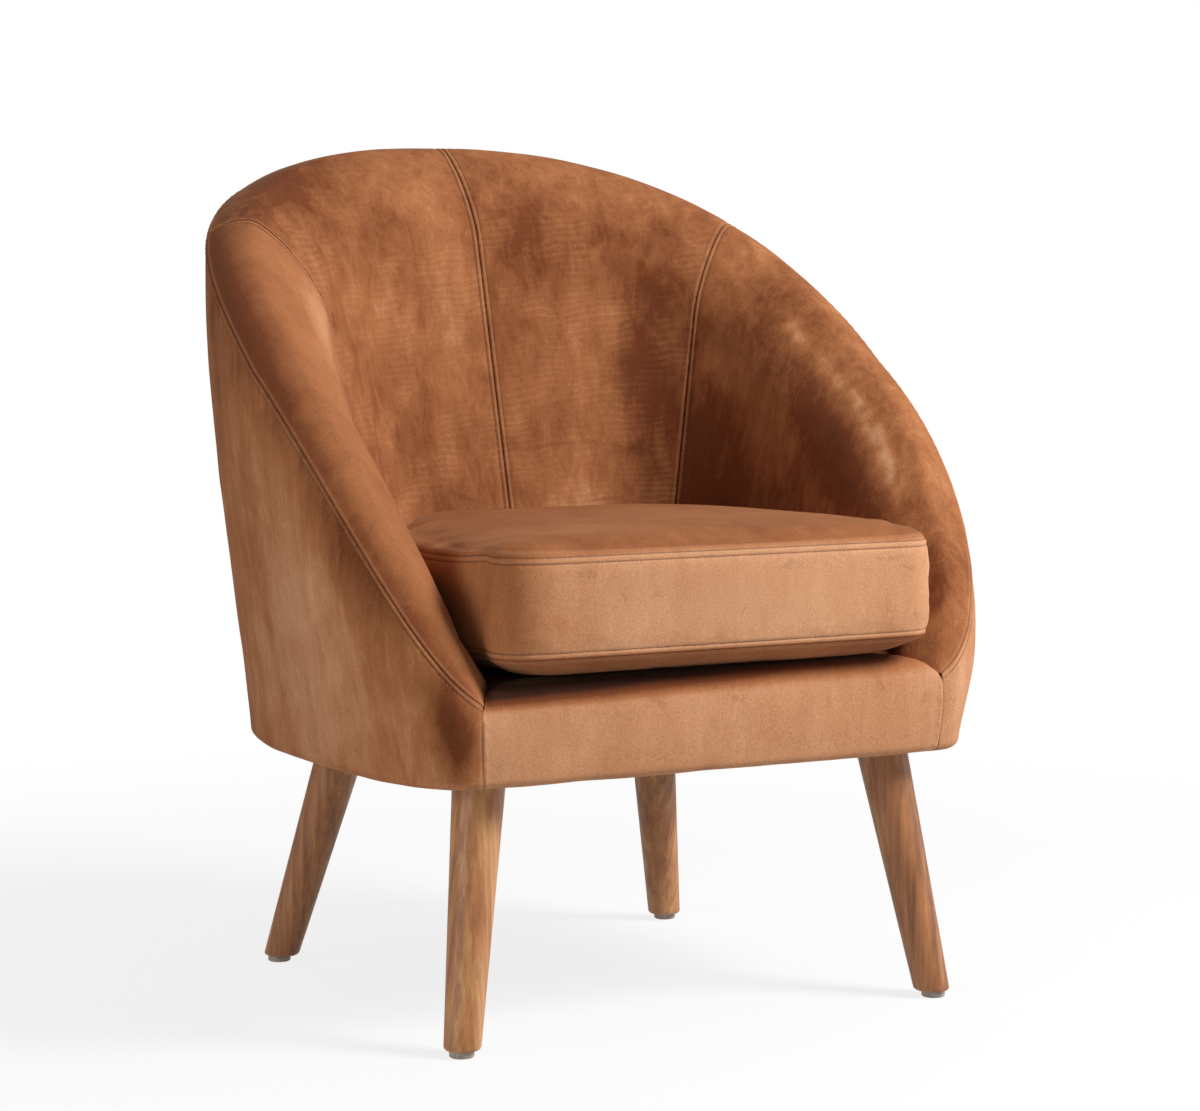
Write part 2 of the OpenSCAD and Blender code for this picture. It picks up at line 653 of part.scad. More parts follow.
module front_rail_foam() color(foam_yellow) {
    line = inset(rail_line, cover_thickness + layer_gap);
    core = [
        [line[9].x, wall_foot + layer_gap], [board_back_y + layer_gap, wall_foot + layer_gap],
        [board_back_y + layer_gap, board_top + layer_gap], [ring_front_y - layer_gap, board_top + layer_gap],
        [ring_front_y - layer_gap, ring_bottom + layer_gap],
        [line[3].x, tub_bottom + bottom_edge_radius + overrun]
    ];
    loft([for (s = rail_foam_cross_shares) concat(
        rail_ring(s, part_of(line, 3, 9)), [for (p = core) [s * rail_half(p.x), p.x, p.y]])]);
}

// Deck: two layers of straps laced over and under each other, a pad and a cloth
strap_cross_shares = [-0.3, 0.13];
strap_length_shares = [-0.68, -0.226, 0.226, 0.68];
strap_gap = 0.2;
opening_front = board_back_y + layer_gap + deck_ring_full;
opening_back = back_y - inner_u(1, wall_foot) - deck_ring_width;
// The inside wall's line in plan, at the deck
wall_line = [for (k = [deck_station:-1:0]) placed(k, [[inner_u(run_share(k), wall_foot), 0]])[0]];
function wall_x_at(y) = lookup(y, [for (p = wall_line) [p.y, p.x]]);
function wall_y_at(x) = lookup(x, [for (i = [len(wall_line) - 1:-1:len(wall_line) / 2]) let (
    p = wall_line[i]
) [p.x, p.y]]);
opening_middle = (opening_front + opening_back) / 2;
opening_depth = opening_back - opening_front;
strap_clear = 16;
strap_hold = deck_ring_width - strap_clear;
strap_low = deck_top + strap_gap;
strap_step = strap_thickness + strap_gap;
cross_places = [for (s = strap_cross_shares) opening_middle + s * opening_depth];
function strap_reach(y) = wall_x_at(y + strap_width / 2) - strap_clear;
least_reach = min([for (y = cross_places) strap_reach(y)]);
length_places = [for (s = strap_length_shares) s * least_reach];
// Side view of a strap that passes over and under others at the given places
function laced(from, to, places, first_over) = let (
    half = strap_width / 2 + strap_gap,
    slope_run = strap_width / 10,
    reach = half + slope_run,
    low = [for (i = [0:len(places) - 1]) if (places[i] - reach > from && places[i] + reach < to) each let (
        over = (i + (first_over ? 1 : 0)) % 2,
        c = places[i]
    ) [[c - half - slope_run, 0], [c - half, over * strap_step], [c + half, over * strap_step],
        [c + half + slope_run, 0]]]
) concat([[from, 0]], low, [[to, 0]]);
function strap_outline(line) = concat(line, reversed([for (p = line) p + [0, strap_thickness]]));
module webbing_lengthwise() color(webbing_tan) for (i = [0:len(length_places) - 1])
    translate([length_places[i] - strap_width / 2, 0, strap_low]) rotate([90, 0, 90])
        linear_extrude(strap_width) polygon(strap_outline(
            laced(opening_front - strap_hold,
                wall_y_at(abs(length_places[i]) + strap_width / 2) - strap_clear,
                cross_places, i % 2 == 0)));
module webbing_crosswise() color(webbing_tan) for (j = [0:len(cross_places) - 1])
    translate([0, cross_places[j] + strap_width / 2, strap_low]) rotate([90, 0, 0])
        linear_extrude(strap_width) polygon(strap_outline(
            laced(-strap_reach(cross_places[j]), strap_reach(cross_places[j]), length_places, j % 2 == 1)));
staple_width = 12;
staple_wire = 1;
staple_step = 16;
module staple(x, y, z, turn) translate([x, y, z]) rotate([0, 0, turn])
    translate([-staple_width / 2, -staple_wire / 2, 0]) cube([staple_width, staple_wire, staple_wire]);
module webbing_staples() color(steel) {
    z = strap_low + strap_thickness + strap_gap / 2;
    for (x = length_places, s = [-1, 1])
        staple(x + s * staple_step, opening_front - strap_hold / 2, z, 0);
    for (y = cross_places, hand = [-1, 1], s = [-1, 1])
        staple(hand * (strap_reach(y) - staple_width / 4), y + s * staple_step, z, 90);
}
deck_front_y = front_y + rail_depth + 2 * layer_gap;
deck_panel_station = 22;
module deck_panel(low, high) translate([0, 0, low]) linear_extrude(high - low)
    polygon(plan_line(deck_panel_station, low, layer_gap + overrun, deck_front_y, true));
module deck_pad() color(felt_grey) deck_panel(pad_bottom, pad_bottom + deck_pad_thickness);
module deck_cover() color(velvet) deck_panel(deck_surface - cover_thickness, deck_surface);

// Dust cover under the base ring, inside the tucked covers, with its staples
dust_inset = tuck_width + layer_gap + overrun;
module dust_cover() color(black_cloth) difference() {
    translate([0, 0, tub_bottom + cover_thickness - dust_cover_thickness])
        linear_extrude(dust_cover_thickness)
            polygon(plan_line(ring_station, tub_bottom + bottom_edge_radius, dust_inset,
                front_y + dust_inset));
    for (h = leg_hands) {
        bolt_hole(h, layer_gap);
        screw_holes(h, hole_play);
    }
}
staple_stations = [3, 6, 9, 12, 15, 18];
module bottom_staples() color(steel) {
    z = tub_bottom - staple_wire - layer_gap / 3;
    for (k = staple_stations, hand = [-1, 1]) {
        p = placed(hand * k, [[outer_u(run_share(k), tub_bottom + bottom_edge_radius) + tuck_width
            - bottom_edge_radius / 2, z]])[0];
        heading = bezier(section_headings, run_share(k));
        staple(p.x, p.y, z, hand * (90 + heading));
    }
    for (s = [-0.8, -0.4, 0, 0.4, 0.8])
        staple(s * corner_x, front_y + tuck_width - bottom_edge_radius / 2, z, 0);
}

// Seat cushion. Its plan runs from the middle of the front over the right side to the back
boxing_low = rail_crest_height + layer_gap + bottom_belly;
boxing_high = boxing_low + boxing_height;
cushion_back_y = back_y - inner_u(1, boxing_low) - cushion_back_gap;
cushion_half = cushion_width / 2;
cushion_middle = [0, (cushion_front_y + cushion_back_y) / 2];
cushion_cloth = 1.6;
// Stations at which the cushion's side keeps its gap to the inside wall
cushion_stations = [26, 24, 21, 18, 15, 12, 10, 8, 6];
function arc(middle, r, from, to, n) = [for (i = [0:n]) let (a = from + (to - from) * i / n)
    middle + r * [cos(a), sin(a)]];
side_half_plan = concat(
    [[0, cushion_front_y], [0.35 * cushion_half, cushion_front_y], [0.65 * cushion_half, cushion_front_y]],
    arc([cushion_half - cushion_corner_radius, cushion_front_y + cushion_corner_radius],
        cushion_corner_radius, -90, 0, 4),
    [for (k = cushion_stations) let (
        q = run_share(k),
        p = placed(k, [[inner_u(q, boxing_low) + cushion_side_gap, boxing_low]])[0]
    ) [p.x, p.y]]
);
zip_end = [zip_half_length + cushion_cloth, cushion_back_y];
back_half_plan = [zip_end, [zip_half_length / 2, cushion_back_y]];
half_plan = concat(side_half_plan, back_half_plan);
cushion_plan = concat(half_plan, [[0, cushion_back_y]], part_of(mirrored(half_plan), 0, len(half_plan) - 2));
boxing_plan = concat(mirrored(concat(part_of(side_half_plan, 1, len(side_half_plan) - 1), [zip_end])),
    side_half_plan, [zip_end]);
// Swell of the boxing at a plan point: none along the zip
function swell_at(p) = p.y > cushion_back_y - overrun ? 0 : boxing_swell;
// A plan point moved towards the cushion's middle by d, or scaled about it
function drawn(p, d, share = 1) = let (way = p - cushion_middle)
    cushion_middle + way * share * (1 - d / norm(way));
function plan_ring(d, share, z) = [for (p = cushion_plan) let (at = drawn(p, d, share)) [at.x, at.y, z]];
crown_ring_shares = [1, 0.93, 0.76, 0.45];
crown_rise_shares = [0, 0.45, 0.84, 1];
belly_ring_shares = [1, 0.92, 0.75];
belly_fall_shares = [0, 0.6, 1];
seam_half = seam_gap / 2;
crown_height = top_crown - cushion_cloth - seam_half;
belly_height = bottom_belly - cushion_cloth - seam_half;
function crown_z(i) = boxing_high + seam_half + crown_rise_shares[i] * crown_height;
function belly_z(i) = boxing_low - seam_half - belly_fall_shares[i] * belly_height;
module cushion_top_panel() color(velvet) {
    last = len(crown_ring_shares) - 1;
    loft(concat(
        [for (i = [last:-1:0]) plan_ring(0, crown_ring_shares[i], crown_z(i))],
        [for (i = [0:last]) plan_ring(0, crown_ring_shares[i], crown_z(i) + cushion_cloth)]
    ), true, true);
}
module cushion_bottom_panel() color(velvet) {
    last = len(belly_ring_shares) - 1;
    loft(concat(
        [for (i = [last:-1:0]) plan_ring(0, belly_ring_shares[i], belly_z(i) - cushion_cloth)],
        [for (i = [0:last]) plan_ring(0, belly_ring_shares[i], belly_z(i))]
    ), true, true);
}
boxing_row_shares = [0, 0.33, 0.67, 1];
boxing_bulge_shares = [0, 0.9, 0.9, 0];
module cushion_foam() color(foam_yellow) {
    near = cushion_cloth + 4 * layer_gap;
    last = len(boxing_row_shares) - 1;
    loft(concat(
        [for (i = [len(belly_ring_shares) - 1:-1:1])
            plan_ring(near, belly_ring_shares[i], belly_z(i) + layer_gap)],
        [for (i = [0:last]) [for (p = cushion_plan)
            let (at = drawn(p, near - boxing_bulge_shares[i] * swell_at(p)))
            [at.x, at.y, boxing_low + boxing_row_shares[i] * boxing_height]]],
        [for (i = [1:len(crown_ring_shares) - 1])
            plan_ring(near, crown_ring_shares[i], crown_z(i) - layer_gap)]
    ), true, true);
}
// A strip of boxing between two heights, along a line in plan
module strip(line, rows, bulges, low, high, t) loft([for (p = line) let (
    outer = [for (i = [0:len(rows) - 1]) let (at = drawn(p, -bulges[i] * swell_at(p)))
        [at.x, at.y, low + rows[i] * (high - low)]],
    inner = [for (i = [0:len(rows) - 1]) let (at = drawn(p, t - bulges[i] * swell_at(p)))
        [at.x, at.y, low + rows[i] * (high - low)]]
) concat(outer, reversed(inner))]);
module cushion_boxing() color(velvet) strip(boxing_plan, boxing_row_shares, boxing_bulge_shares,
    boxing_low + seam_half, boxing_high - seam_half, cushion_cloth);

// Back boxing of two strips with the zip between them, all along the cushion's straight back
zip_low = (boxing_low + boxing_high - zip_height) / 2;
zip_high = zip_low + zip_height;
zip_middle = (zip_low + zip_high) / 2;
teeth_height = 4;
teeth_proud = 1.2;
module on_back(half_length, low, high, near, far) translate([-half_length, cushion_back_y - far, low])
    cube([2 * half_length, far - near, high - low]);
module cushion_back_boxing() color(velvet) {
    on_back(zip_half_length, boxing_low + seam_half, zip_low - seam_half, 0, cushion_cloth);
    on_back(zip_half_length, zip_high + seam_half, boxing_high - seam_half, 0, cushion_cloth);
}
module zip_tape() color(black_cloth) union() {
    on_back(zip_half_length, zip_low, zip_high, 0, cushion_cloth);
    on_back(zip_half_length - zip_end_stop, zip_middle - teeth_height / 2,
        zip_middle + teeth_height / 2, -teeth_proud, cushion_cloth / 2);
}
zip_end_stop = 4;
slider_length = 14;
slider_height = 9;
slider_thickness = 2.6;
pull_length = 24;
pull_width = 6;
pull_thickness = 1.2;
slider_start_x = zip_half_length - zip_end_stop - slider_length / 2;
module zip_slider() color(steel)
    translate([slider_start_x, cushion_back_y + teeth_proud + layer_gap, zip_middle]) {
        translate([-slider_length / 2, 0, -slider_height / 2])
            cube([slider_length, slider_thickness, slider_height]);
        translate([-pull_width / 2, slider_thickness, slider_height / 2 - pull_length])
            cube([pull_width, pull_thickness, pull_length]);
    }

leg_front_left();
leg_front_right();
leg_back_left();
leg_back_right();
leg_plates();
plate_screws();
leg_bolts();
glide_front_left();
glide_front_right();
glide_back_left();
glide_back_right();
base_ring();
corner_blocks();
deck_blocks();
deck_ring();
front_rail_board();
arm_posts_left();
arm_posts_right();
back_posts();
arm_rail_left();
arm_rail_right();
back_top_rail();
inner_liner();
outer_liner();
webbing_lengthwise();
webbing_crosswise();
webbing_staples();
deck_pad();
deck_cover();
front_rail_foam();
arm_tip_foam();
arm_foam_left();
arm_foam_right();
back_foam();
outside_wadding();
outside_arm_left();
outside_arm_right();
outside_back();
inside_arm_left();
inside_arm_right();
inside_back_left();
inside_back_right();
front_rail_cover();
dust_cover();
bottom_staples();
cushion_foam();
cushion_top_panel();
cushion_bottom_panel();
cushion_boxing();
cushion_back_boxing();
zip_tape();
zip_slider();
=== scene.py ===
"""Looks of the upholstered tub chair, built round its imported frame.

Everything is in metres in the frame's axes: +Z up, the front faces -Y, the floor is at z = 0.
The covers, the cushion, the zip, the legs and the dust cloth are new pieces that stand for CAD
nodes; the frame, the padding and the fastenings are the CAD nodes themselves, with finishes of
their own.
"""

import json
import logging
import math
from dataclasses import dataclass, field
from enum import Enum
from typing import Dict, List, Optional, Sequence, Tuple, Union

import bmesh
import bpy
import numpy as np
from mathutils import Matrix, Vector, noise
from mathutils.kdtree import KDTree

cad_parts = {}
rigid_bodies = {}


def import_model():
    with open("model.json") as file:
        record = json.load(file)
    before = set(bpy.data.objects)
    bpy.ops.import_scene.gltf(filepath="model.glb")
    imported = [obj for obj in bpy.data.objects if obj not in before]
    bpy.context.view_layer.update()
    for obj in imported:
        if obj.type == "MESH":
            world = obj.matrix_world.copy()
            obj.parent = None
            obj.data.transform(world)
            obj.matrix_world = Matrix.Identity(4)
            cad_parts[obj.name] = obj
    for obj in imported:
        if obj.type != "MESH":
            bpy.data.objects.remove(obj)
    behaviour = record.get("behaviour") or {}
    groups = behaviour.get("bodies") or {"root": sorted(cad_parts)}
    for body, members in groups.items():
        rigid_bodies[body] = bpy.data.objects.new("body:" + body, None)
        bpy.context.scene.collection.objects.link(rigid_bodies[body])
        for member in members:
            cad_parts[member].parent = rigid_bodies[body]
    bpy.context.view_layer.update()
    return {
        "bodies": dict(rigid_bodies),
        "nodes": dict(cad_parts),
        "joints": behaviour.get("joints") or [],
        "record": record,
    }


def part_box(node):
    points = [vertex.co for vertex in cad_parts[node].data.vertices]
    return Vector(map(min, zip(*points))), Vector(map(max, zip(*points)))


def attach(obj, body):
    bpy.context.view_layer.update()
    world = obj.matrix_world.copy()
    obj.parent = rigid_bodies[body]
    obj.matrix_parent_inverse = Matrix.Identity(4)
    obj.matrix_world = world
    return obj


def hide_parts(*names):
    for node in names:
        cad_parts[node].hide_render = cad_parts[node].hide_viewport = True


LOG = logging.getLogger("tub_chair")
WHITE = (1.0, 1.0, 1.0, 1.0)
WAVES_PER_METRE = 3.1831
STITCH_ROWS = (0, 0.0005, 0.001, 0.0016, 0.0023, 0.003, 0.0038, 0.0046, 0.0051, 0.0055, 0.006, 0.0066,
               0.0075, 0.009, 0.0115)
SEAM_ROWS = (0, 0.0005, 0.001, 0.0016, 0.0024, 0.0035, 0.005, 0.0075)
CLOSE_REACH = 0.02
Number = Union[float, int, "Wire"]
Colour = Tuple[float, float, float, float]


# Shader graphs.


def paint(code: str) -> Colour:
    """Turns a written colour into the linear one that a shader takes.

    Args:
        code: Six hexadecimal digits after a hash.

    Returns:
        The linear colour with full opacity.
    """
    parts = [int(code[i:i + 2], 16) / 255 for i in (1, 3, 5)]
    red, green, blue = (c / 12.92 if c <= 0.04045 else ((c + 0.055) / 1.055) ** 2.4 for c in parts)
    return (red, green, blue, 1.0)


class Wire:
    """One output of a shader node. Arithmetic on it adds the Math nodes."""

    def __init__(self, graph: "Graph", socket: bpy.types.NodeSocket) -> None:
        """Keeps the output.

        Args:
            graph: The graph that the output belongs to.
            socket: The output itself.
        """
        self.graph = graph
        self.socket = socket

    def __add__(self, other: Number) -> "Wire":
        """Adds a number."""
        return self.graph.maths("ADD", self, other)

    def __sub__(self, other: Number) -> "Wire":
        """Takes a number away."""
        return self.graph.maths("SUBTRACT", self, other)

    def __rsub__(self, other: Number) -> "Wire":
        """Takes itself away from a number."""
        return self.graph.maths("SUBTRACT", other, self)

    def __mul__(self, other: Number) -> "Wire":
        """Multiplies by a number."""
        return self.graph.maths("MULTIPLY", self, other)


class Graph:
    """The node tree of a material or of the world, built from the coordinates to the surface."""

    def __init__(self, owner: Union[bpy.types.Material, bpy.types.World]) -> None:
        """Empties the owner's tree.

        Args:
            owner: What the tree belongs to.
        """
        self.owner = owner
        owner.use_nodes = True
        self.tree = owner.node_tree
        self.tree.nodes.clear()

    def node(self, kind: str, settings: Optional[dict] = None, sockets: Optional[dict] = None,
             output: Union[int, str] = 0) -> Wire:
        """Adds one node.

        Args:
            kind: The node's type.
            settings: The node's own options, set first. "stops" gives a ramp its colours.
            sockets: Values or wires for its inputs, by name or number.
            output: The output that is wanted.

        Returns:
            The wanted output.
        """
        made = self.tree.nodes.new(kind)
        for key, value in (settings or {}).items():
            if key == "stops":
                elements = made.color_ramp.elements
                while len(elements) < len(value):
                    elements.new(0.5)
                for element, (place, colour) in zip(elements, value):
                    element.position = place
                    element.color = colour
            else:
                setattr(made, key, value)
        for key, value in (sockets or {}).items():
            if isinstance(value, Wire):
                self.tree.links.new(value.socket, made.inputs[key])
            else:
                made.inputs[key].default_value = value
        return Wire(self, made.outputs[output])

    def maths(self, operation: str, first: Number, second: Number = 0.0) -> Wire:
        """Adds a Math node.

        Args:
            operation: Blender's name of the operation.
            first: The first value.
            second: The second value.

        Returns:
            The result.
        """
        return self.node("ShaderNodeMath", {"operation": operation}, {0: first, 1: second})

    def blend(self, share: Number, first: Union[Colour, Wire], second: Union[Colour, Wire],
              mode: str = "MIX") -> Wire:
        """Mixes two colours.

        Args:
            share: How much of the second colour shows.
            first: The colour at 0.
            second: The colour at 1.
            mode: Blender's name of the way they mix.

        Returns:
            The mixed colour.
        """
        return self.node("ShaderNodeMix", {"data_type": "RGBA", "blend_type": mode},
                         {0: share, 6: first, 7: second}, 2)

    def place(self, stretch: Sequence[float] = (1, 1, 1), turn: Sequence[float] = (0, 0, 0)) -> Wire:
        """Object coordinates, turned and stretched.

        Args:
            stretch: Pattern repeats per metre along each axis.
            turn: Turn about each axis in radians.

        Returns:
            The coordinates.
        """
        here = self.node("ShaderNodeTexCoord", output="Object")
        return self.node("ShaderNodeMapping", {},
                         {"Vector": here, "Scale": tuple(stretch), "Rotation": tuple(turn)})

    def field(self, name: str) -> Wire:
        """A value kept at each point of the mesh."""
        return self.node("ShaderNodeAttribute", {"attribute_name": name}, {}, "Fac")

    def cloud(self, coords: Wire, scale: float, detail: float = 2.0, rough: float = 0.5,
              bend: float = 0.0) -> Wire:
        """Soft noise from 0 to 1.

        Args:
            coords: Where it is read.
            scale: Its scale.
            detail: Its octaves.
            rough: How strong the finer octaves are.
            bend: How much it is bent by itself.

        Returns:
            The noise.
        """
        return self.node("ShaderNodeTexNoise", {}, {
            "Vector": coords, "Scale": scale, "Detail": detail, "Roughness": rough,
            "Distortion": bend})

    def between(self, value: Wire, low: float, high: float, start: float = 0.0,
                end: float = 1.0) -> Wire:
        """A smooth step of a value.

        Args:
            value: The value that is read.
            low: Where the step starts.
            high: Where the step ends.
            start: The result below the step.
            end: The result above the step.

        Returns:
            The stepped value.
        """
        return self.node("ShaderNodeMapRange", {"interpolation_type": "SMOOTHSTEP"}, {
            "Value": value, "From Min": low, "From Max": high, "To Min": start, "To Max": end})

    def band(self, value: Wire, places: Tuple[float, float, float, float]) -> Wire:
        """1 between the two middle places and 0 outside the outer two."""
        rise, full, ebb, gone = places
        return self.between(value, rise, full) * self.between(value, ebb, gone, 1.0, 0.0)

    def ramp(self, value: Wire, stops: Sequence[Tuple[float, Colour]]) -> Wire:
        """A colour ramp."""
        return self.node("ShaderNodeValToRGB", {"stops": list(stops)}, {0: value})

    def bump(self, height: Wire, depth: float, strength: float, below: Optional[Wire] = None) -> Wire:
        """Turns a height of 0 to 1 into a bumped normal.

        Args:
            height: The height.
            depth: The depth of the relief in metres.
            strength: How much of it shows.
            below: A normal that is bumped already.

        Returns:
            The normal.
        """
        sockets = {"Height": height, "Distance": depth, "Strength": strength}
        if below is not None:
            sockets["Normal"] = below
        return self.node("ShaderNodeBump", {}, sockets)

    def principled(self, **sockets: Union[Number, Colour, Wire]) -> Wire:
        """A principled shader.

        Args:
            **sockets: Its inputs, with an underscore for each space.

        Returns:
            The shader.
        """
        return self.node("ShaderNodeBsdfPrincipled", {},
                         {key.replace("_", " "): value for key, value in sockets.items()})

    def rays(self, *kinds: str) -> List[Wire]:
        """1 for rays of each kind, and 0 for the rest."""
        return [self.node("ShaderNodeLightPath", output=kind) for kind in kinds]

    def end(self, shader: Wire) -> None:
        """Links a shader to the owner's output."""
        kind = "World" if isinstance(self.owner, bpy.types.World) else "Material"
        out = self.tree.nodes.new(f"ShaderNodeOutput{kind}")
        self.tree.links.new(shader.socket, out.inputs["Surface"])


# Finishes.


class Lie(Enum):
    """How the velvet's pile was last brushed on a piece."""

    UPRIGHT = "upright"
    RIPPLED = "rippled"
    SMOOTH = "smooth"


@dataclass(frozen=True)
class Scuff:
    """A short crease in the pile, seen from the front."""

    x: float
    z: float
    length: float
    width: float
    angle: float

    def mask(self, graph: "Graph", here: Wire, ragged: Wire) -> Wire:
        """1 along the crease, fading to 0.

        Args:
            graph: The graph that it is added to.
            here: Object coordinates.
            ragged: Noise that breaks its outline.

        Returns:
            The mask.
        """
        spot = graph.node("ShaderNodeMapping", {"vector_type": "TEXTURE"}, {
            "Vector": here, "Location": (self.x, 0.12, self.z),
            "Rotation": (0, -math.radians(self.angle), 0), "Scale": (self.length, 0.5, self.width)})
        away = graph.node("ShaderNodeVectorMath", {"operation": "LENGTH"}, {0: spot}, "Value")
        return graph.between(away + ragged * 1.6, 0.3, 1.5, 1.0, 0.0)


@dataclass(frozen=True)
class Finish:
    """A material and the name that it goes by."""

    name: str

    def make(self) -> bpy.types.Material:
        """Builds the material.

        Returns:
            The material.
        """
        graph = Graph(bpy.data.materials.new(self.name))
        graph.end(self.shader(graph))
        return graph.owner

    def shader(self, graph: Graph) -> Wire:
        """Lays the nodes of the finish.

        Args:
            graph: The graph that they are added to.

        Returns:
            The shader.
        """
        raise NotImplementedError


@dataclass(frozen=True)
class Velvet(Finish):
    """Short-piled velvet in rust brown. Its pile lies unevenly, so it shows clouds and strokes, and
    each piece adds painted light and shade.
    """

    lie: Lie = Lie.UPRIGHT
    shade: str = "#6E3819"
    tone: str = "#A5683E"
    light: str = "#CE9971"
    # Near-black painted shadow for the darkest gaps.
    painted_shadow: str = "#241007"
    seam_shade: str = "#3F1F0E"
    lean: float = 0.0
    contrast: float = 1.0
    # A negative lift darkens the whole piece: painted shade, partly the pile's lie.
    lift: float = 0.0
    creases: Tuple[Scuff, ...] = ()
    smooth_swing: float = 0.75
    upright_swing: float = 1.8
    scuff_share: float = 0.3
    crease_share: float = 0.34
    grain_share: float = 0.32
    # The next three shares: painted highlight on each seam's fold, painted shade in the seam ditch and
    # in the stitched groove.
    fold_highlight_share: float = 0.18
    ditch_share: float = 0.6
    groove_share: float = 0.4
    ripple_share: float = 0.10
    ditch: float = 0.0009
    fold: Tuple[float, float, float, float] = (0.0012, 0.0024, 0.0032, 0.0050)
    groove: Tuple[float, float, float, float] = (0.0044, 0.0054, 0.0056, 0.0066)

    def shader(self, graph: Graph) -> Wire:
        """Pile in three browns with scuffs, creases and ripples, painted shadow in the gaps, and
        painted shade and highlights at the seams.
        """
        here = graph.place()
        patches = graph.cloud(here, 17.0, 3.0, 0.6, 0.6)
        turn = (0.12 + self.lean, 0.2 * self.lean, 0.1)
        strokes = graph.cloud(graph.place((26, 26, 6), turn), 1.0, 4.0, 0.6, 0.6)
        nap = self.nap(graph, patches, strokes, turn)
        base = graph.ramp(nap, [(0.12, paint(self.shade)), (0.5, paint(self.tone)),
                                (0.88, paint(self.light))])
        # Painted shadow: where the lie is pushed below 0, the colour runs to near-black, as shade in
        # the gaps round the cushion.
        base = graph.blend(graph.between(nap, -0.45, 0.12, 0.85, 0.0), base, paint(self.painted_shadow))
        scuff_field = graph.cloud(graph.place((24, 24, 30), (0.5, 0.2, 0.8)), 1.0, 5.0, 0.62, 1.8)
        scuffs = graph.between(scuff_field, 0.62, 0.72) * graph.between(patches, 0.45, 0.62)
        base = graph.blend(scuffs * self.scuff_share, base, paint(self.shade))
        ragged = graph.cloud(here, 260.0, 2.0, 0.6) - 0.5
        for crease in self.creases:
            share = crease.mask(graph, here, ragged) * self.crease_share
            base = graph.blend(share, base, paint(self.shade))
        grain = graph.cloud(here, 520.0, 3.0, 0.65)
        greys = [(0.3, (0.25, 0.25, 0.25, 1)), (0.7, (0.75, 0.75, 0.75, 1))]
        base = graph.blend(self.grain_share, base, graph.ramp(grain, greys), "OVERLAY")
        base = self.sewn(graph, base)
        normal = graph.bump(grain, 0.0006, 0.6)
        if self.lie is Lie.RIPPLED:
            ripples = self.ripples(graph, here, patches, strokes)
            base = graph.blend(ripples * self.ripple_share, base, paint(self.light))
            normal = graph.bump(ripples, 0.0003, 0.6, normal)
        return graph.principled(
            Base_Color=base, Roughness=graph.between(nap, 0.2, 0.8, 0.92, 0.74), Normal=normal,
            Sheen_Weight=0.12, Sheen_Roughness=0.35, Sheen_Tint=paint("#FFD0A8"),
            Specular_IOR_Level=0.25)

    def nap(self, graph: Graph, patches: Wire, strokes: Wire, turn: Sequence[float]) -> Wire:
        """How the pile lies, from 0 for shaded to 1 for light, plus the painted light and shade kept
        on the mesh.

        Args:
            graph: The graph that it is added to.
            patches: Noise the size of a palm.
            strokes: Noise drawn out along the pile.
            turn: The way that the strokes run.

        Returns:
            The lie of the pile.
        """
        clouds = graph.cloud(graph.place(), 5.0, 3.0, 0.55, 0.9)
        marks = graph.cloud(graph.place((95, 95, 24), turn), 1.0, 3.0, 0.6, 0.9)
        mixed = clouds * 0.34 + patches * 0.2 + strokes * 0.26 + marks * 0.2
        swing = self.smooth_swing if self.lie is Lie.SMOOTH else self.upright_swing
        # The mesh's field adds painted light and shade to the pile's own lie.
        return (mixed - 0.5) * (swing * self.contrast) + (0.5 + self.lift) + graph.field("nap")

    def sewn(self, graph: Graph, base: Wire) -> Wire:
        """Paints a highlight on the fold beside each seam, and painted shade in the seam and its
        stitched groove.
        """
        gap = graph.field("seam_gap")
        # Painted highlight on the fold beside each seam, painted shade in the seam ditch and the
        # stitched groove.
        ditch = graph.between(gap, 0.0, self.ditch, 1.0, 0.0)
        groove_shade = graph.band(graph.field("stitch_gap"), self.groove)
        fold_highlight = graph.band(gap, self.fold)
        base = graph.blend(fold_highlight * self.fold_highlight_share, base, paint(self.light))
        dark = graph.maths("MAXIMUM", ditch * self.ditch_share, groove_shade * self.groove_share)
        return graph.blend(dark, base, paint(self.seam_shade))

    def ripples(self, graph: Graph, here: Wire, patches: Wire, strokes: Wire) -> Wire:
        """Fine level folds in the pile, which fade towards the crest."""
        waves = graph.node("ShaderNodeTexWave", {"bands_direction": "Z", "wave_profile": "SIN"}, {
            "Vector": graph.place((1, 1, 1), (0, 0.1, 0)), "Scale": 48.0, "Distortion": 8.5,
            "Detail": 2.0, "Detail Scale": 0.42, "Detail Roughness": 0.55}, "Fac")
        height = graph.node("ShaderNodeSeparateXYZ", {}, {0: here}, "Z")
        held = graph.between(patches, 0.38, 0.6) * graph.between(strokes, 0.36, 0.56)
        held = held * graph.between(height, 0.70, 0.765, 1.0, 0.2)
        return graph.between(waves, 0.25, 1.0) * held


@dataclass(frozen=True)
class Thread(Finish):
    """Twisted sewing thread in two browns."""

    name: str = "velvet_thread"

    def shader(self, graph: Graph) -> Wire:
        """A fine twist."""
        twist = graph.cloud(graph.place(), 1800.0, 2.0)
        base = graph.blend(twist, paint("#4E2A14"), paint("#8E5A34"))
        return graph.principled(Base_Color=base, Roughness=0.62, Normal=graph.bump(twist, 0.0001, 0.5))


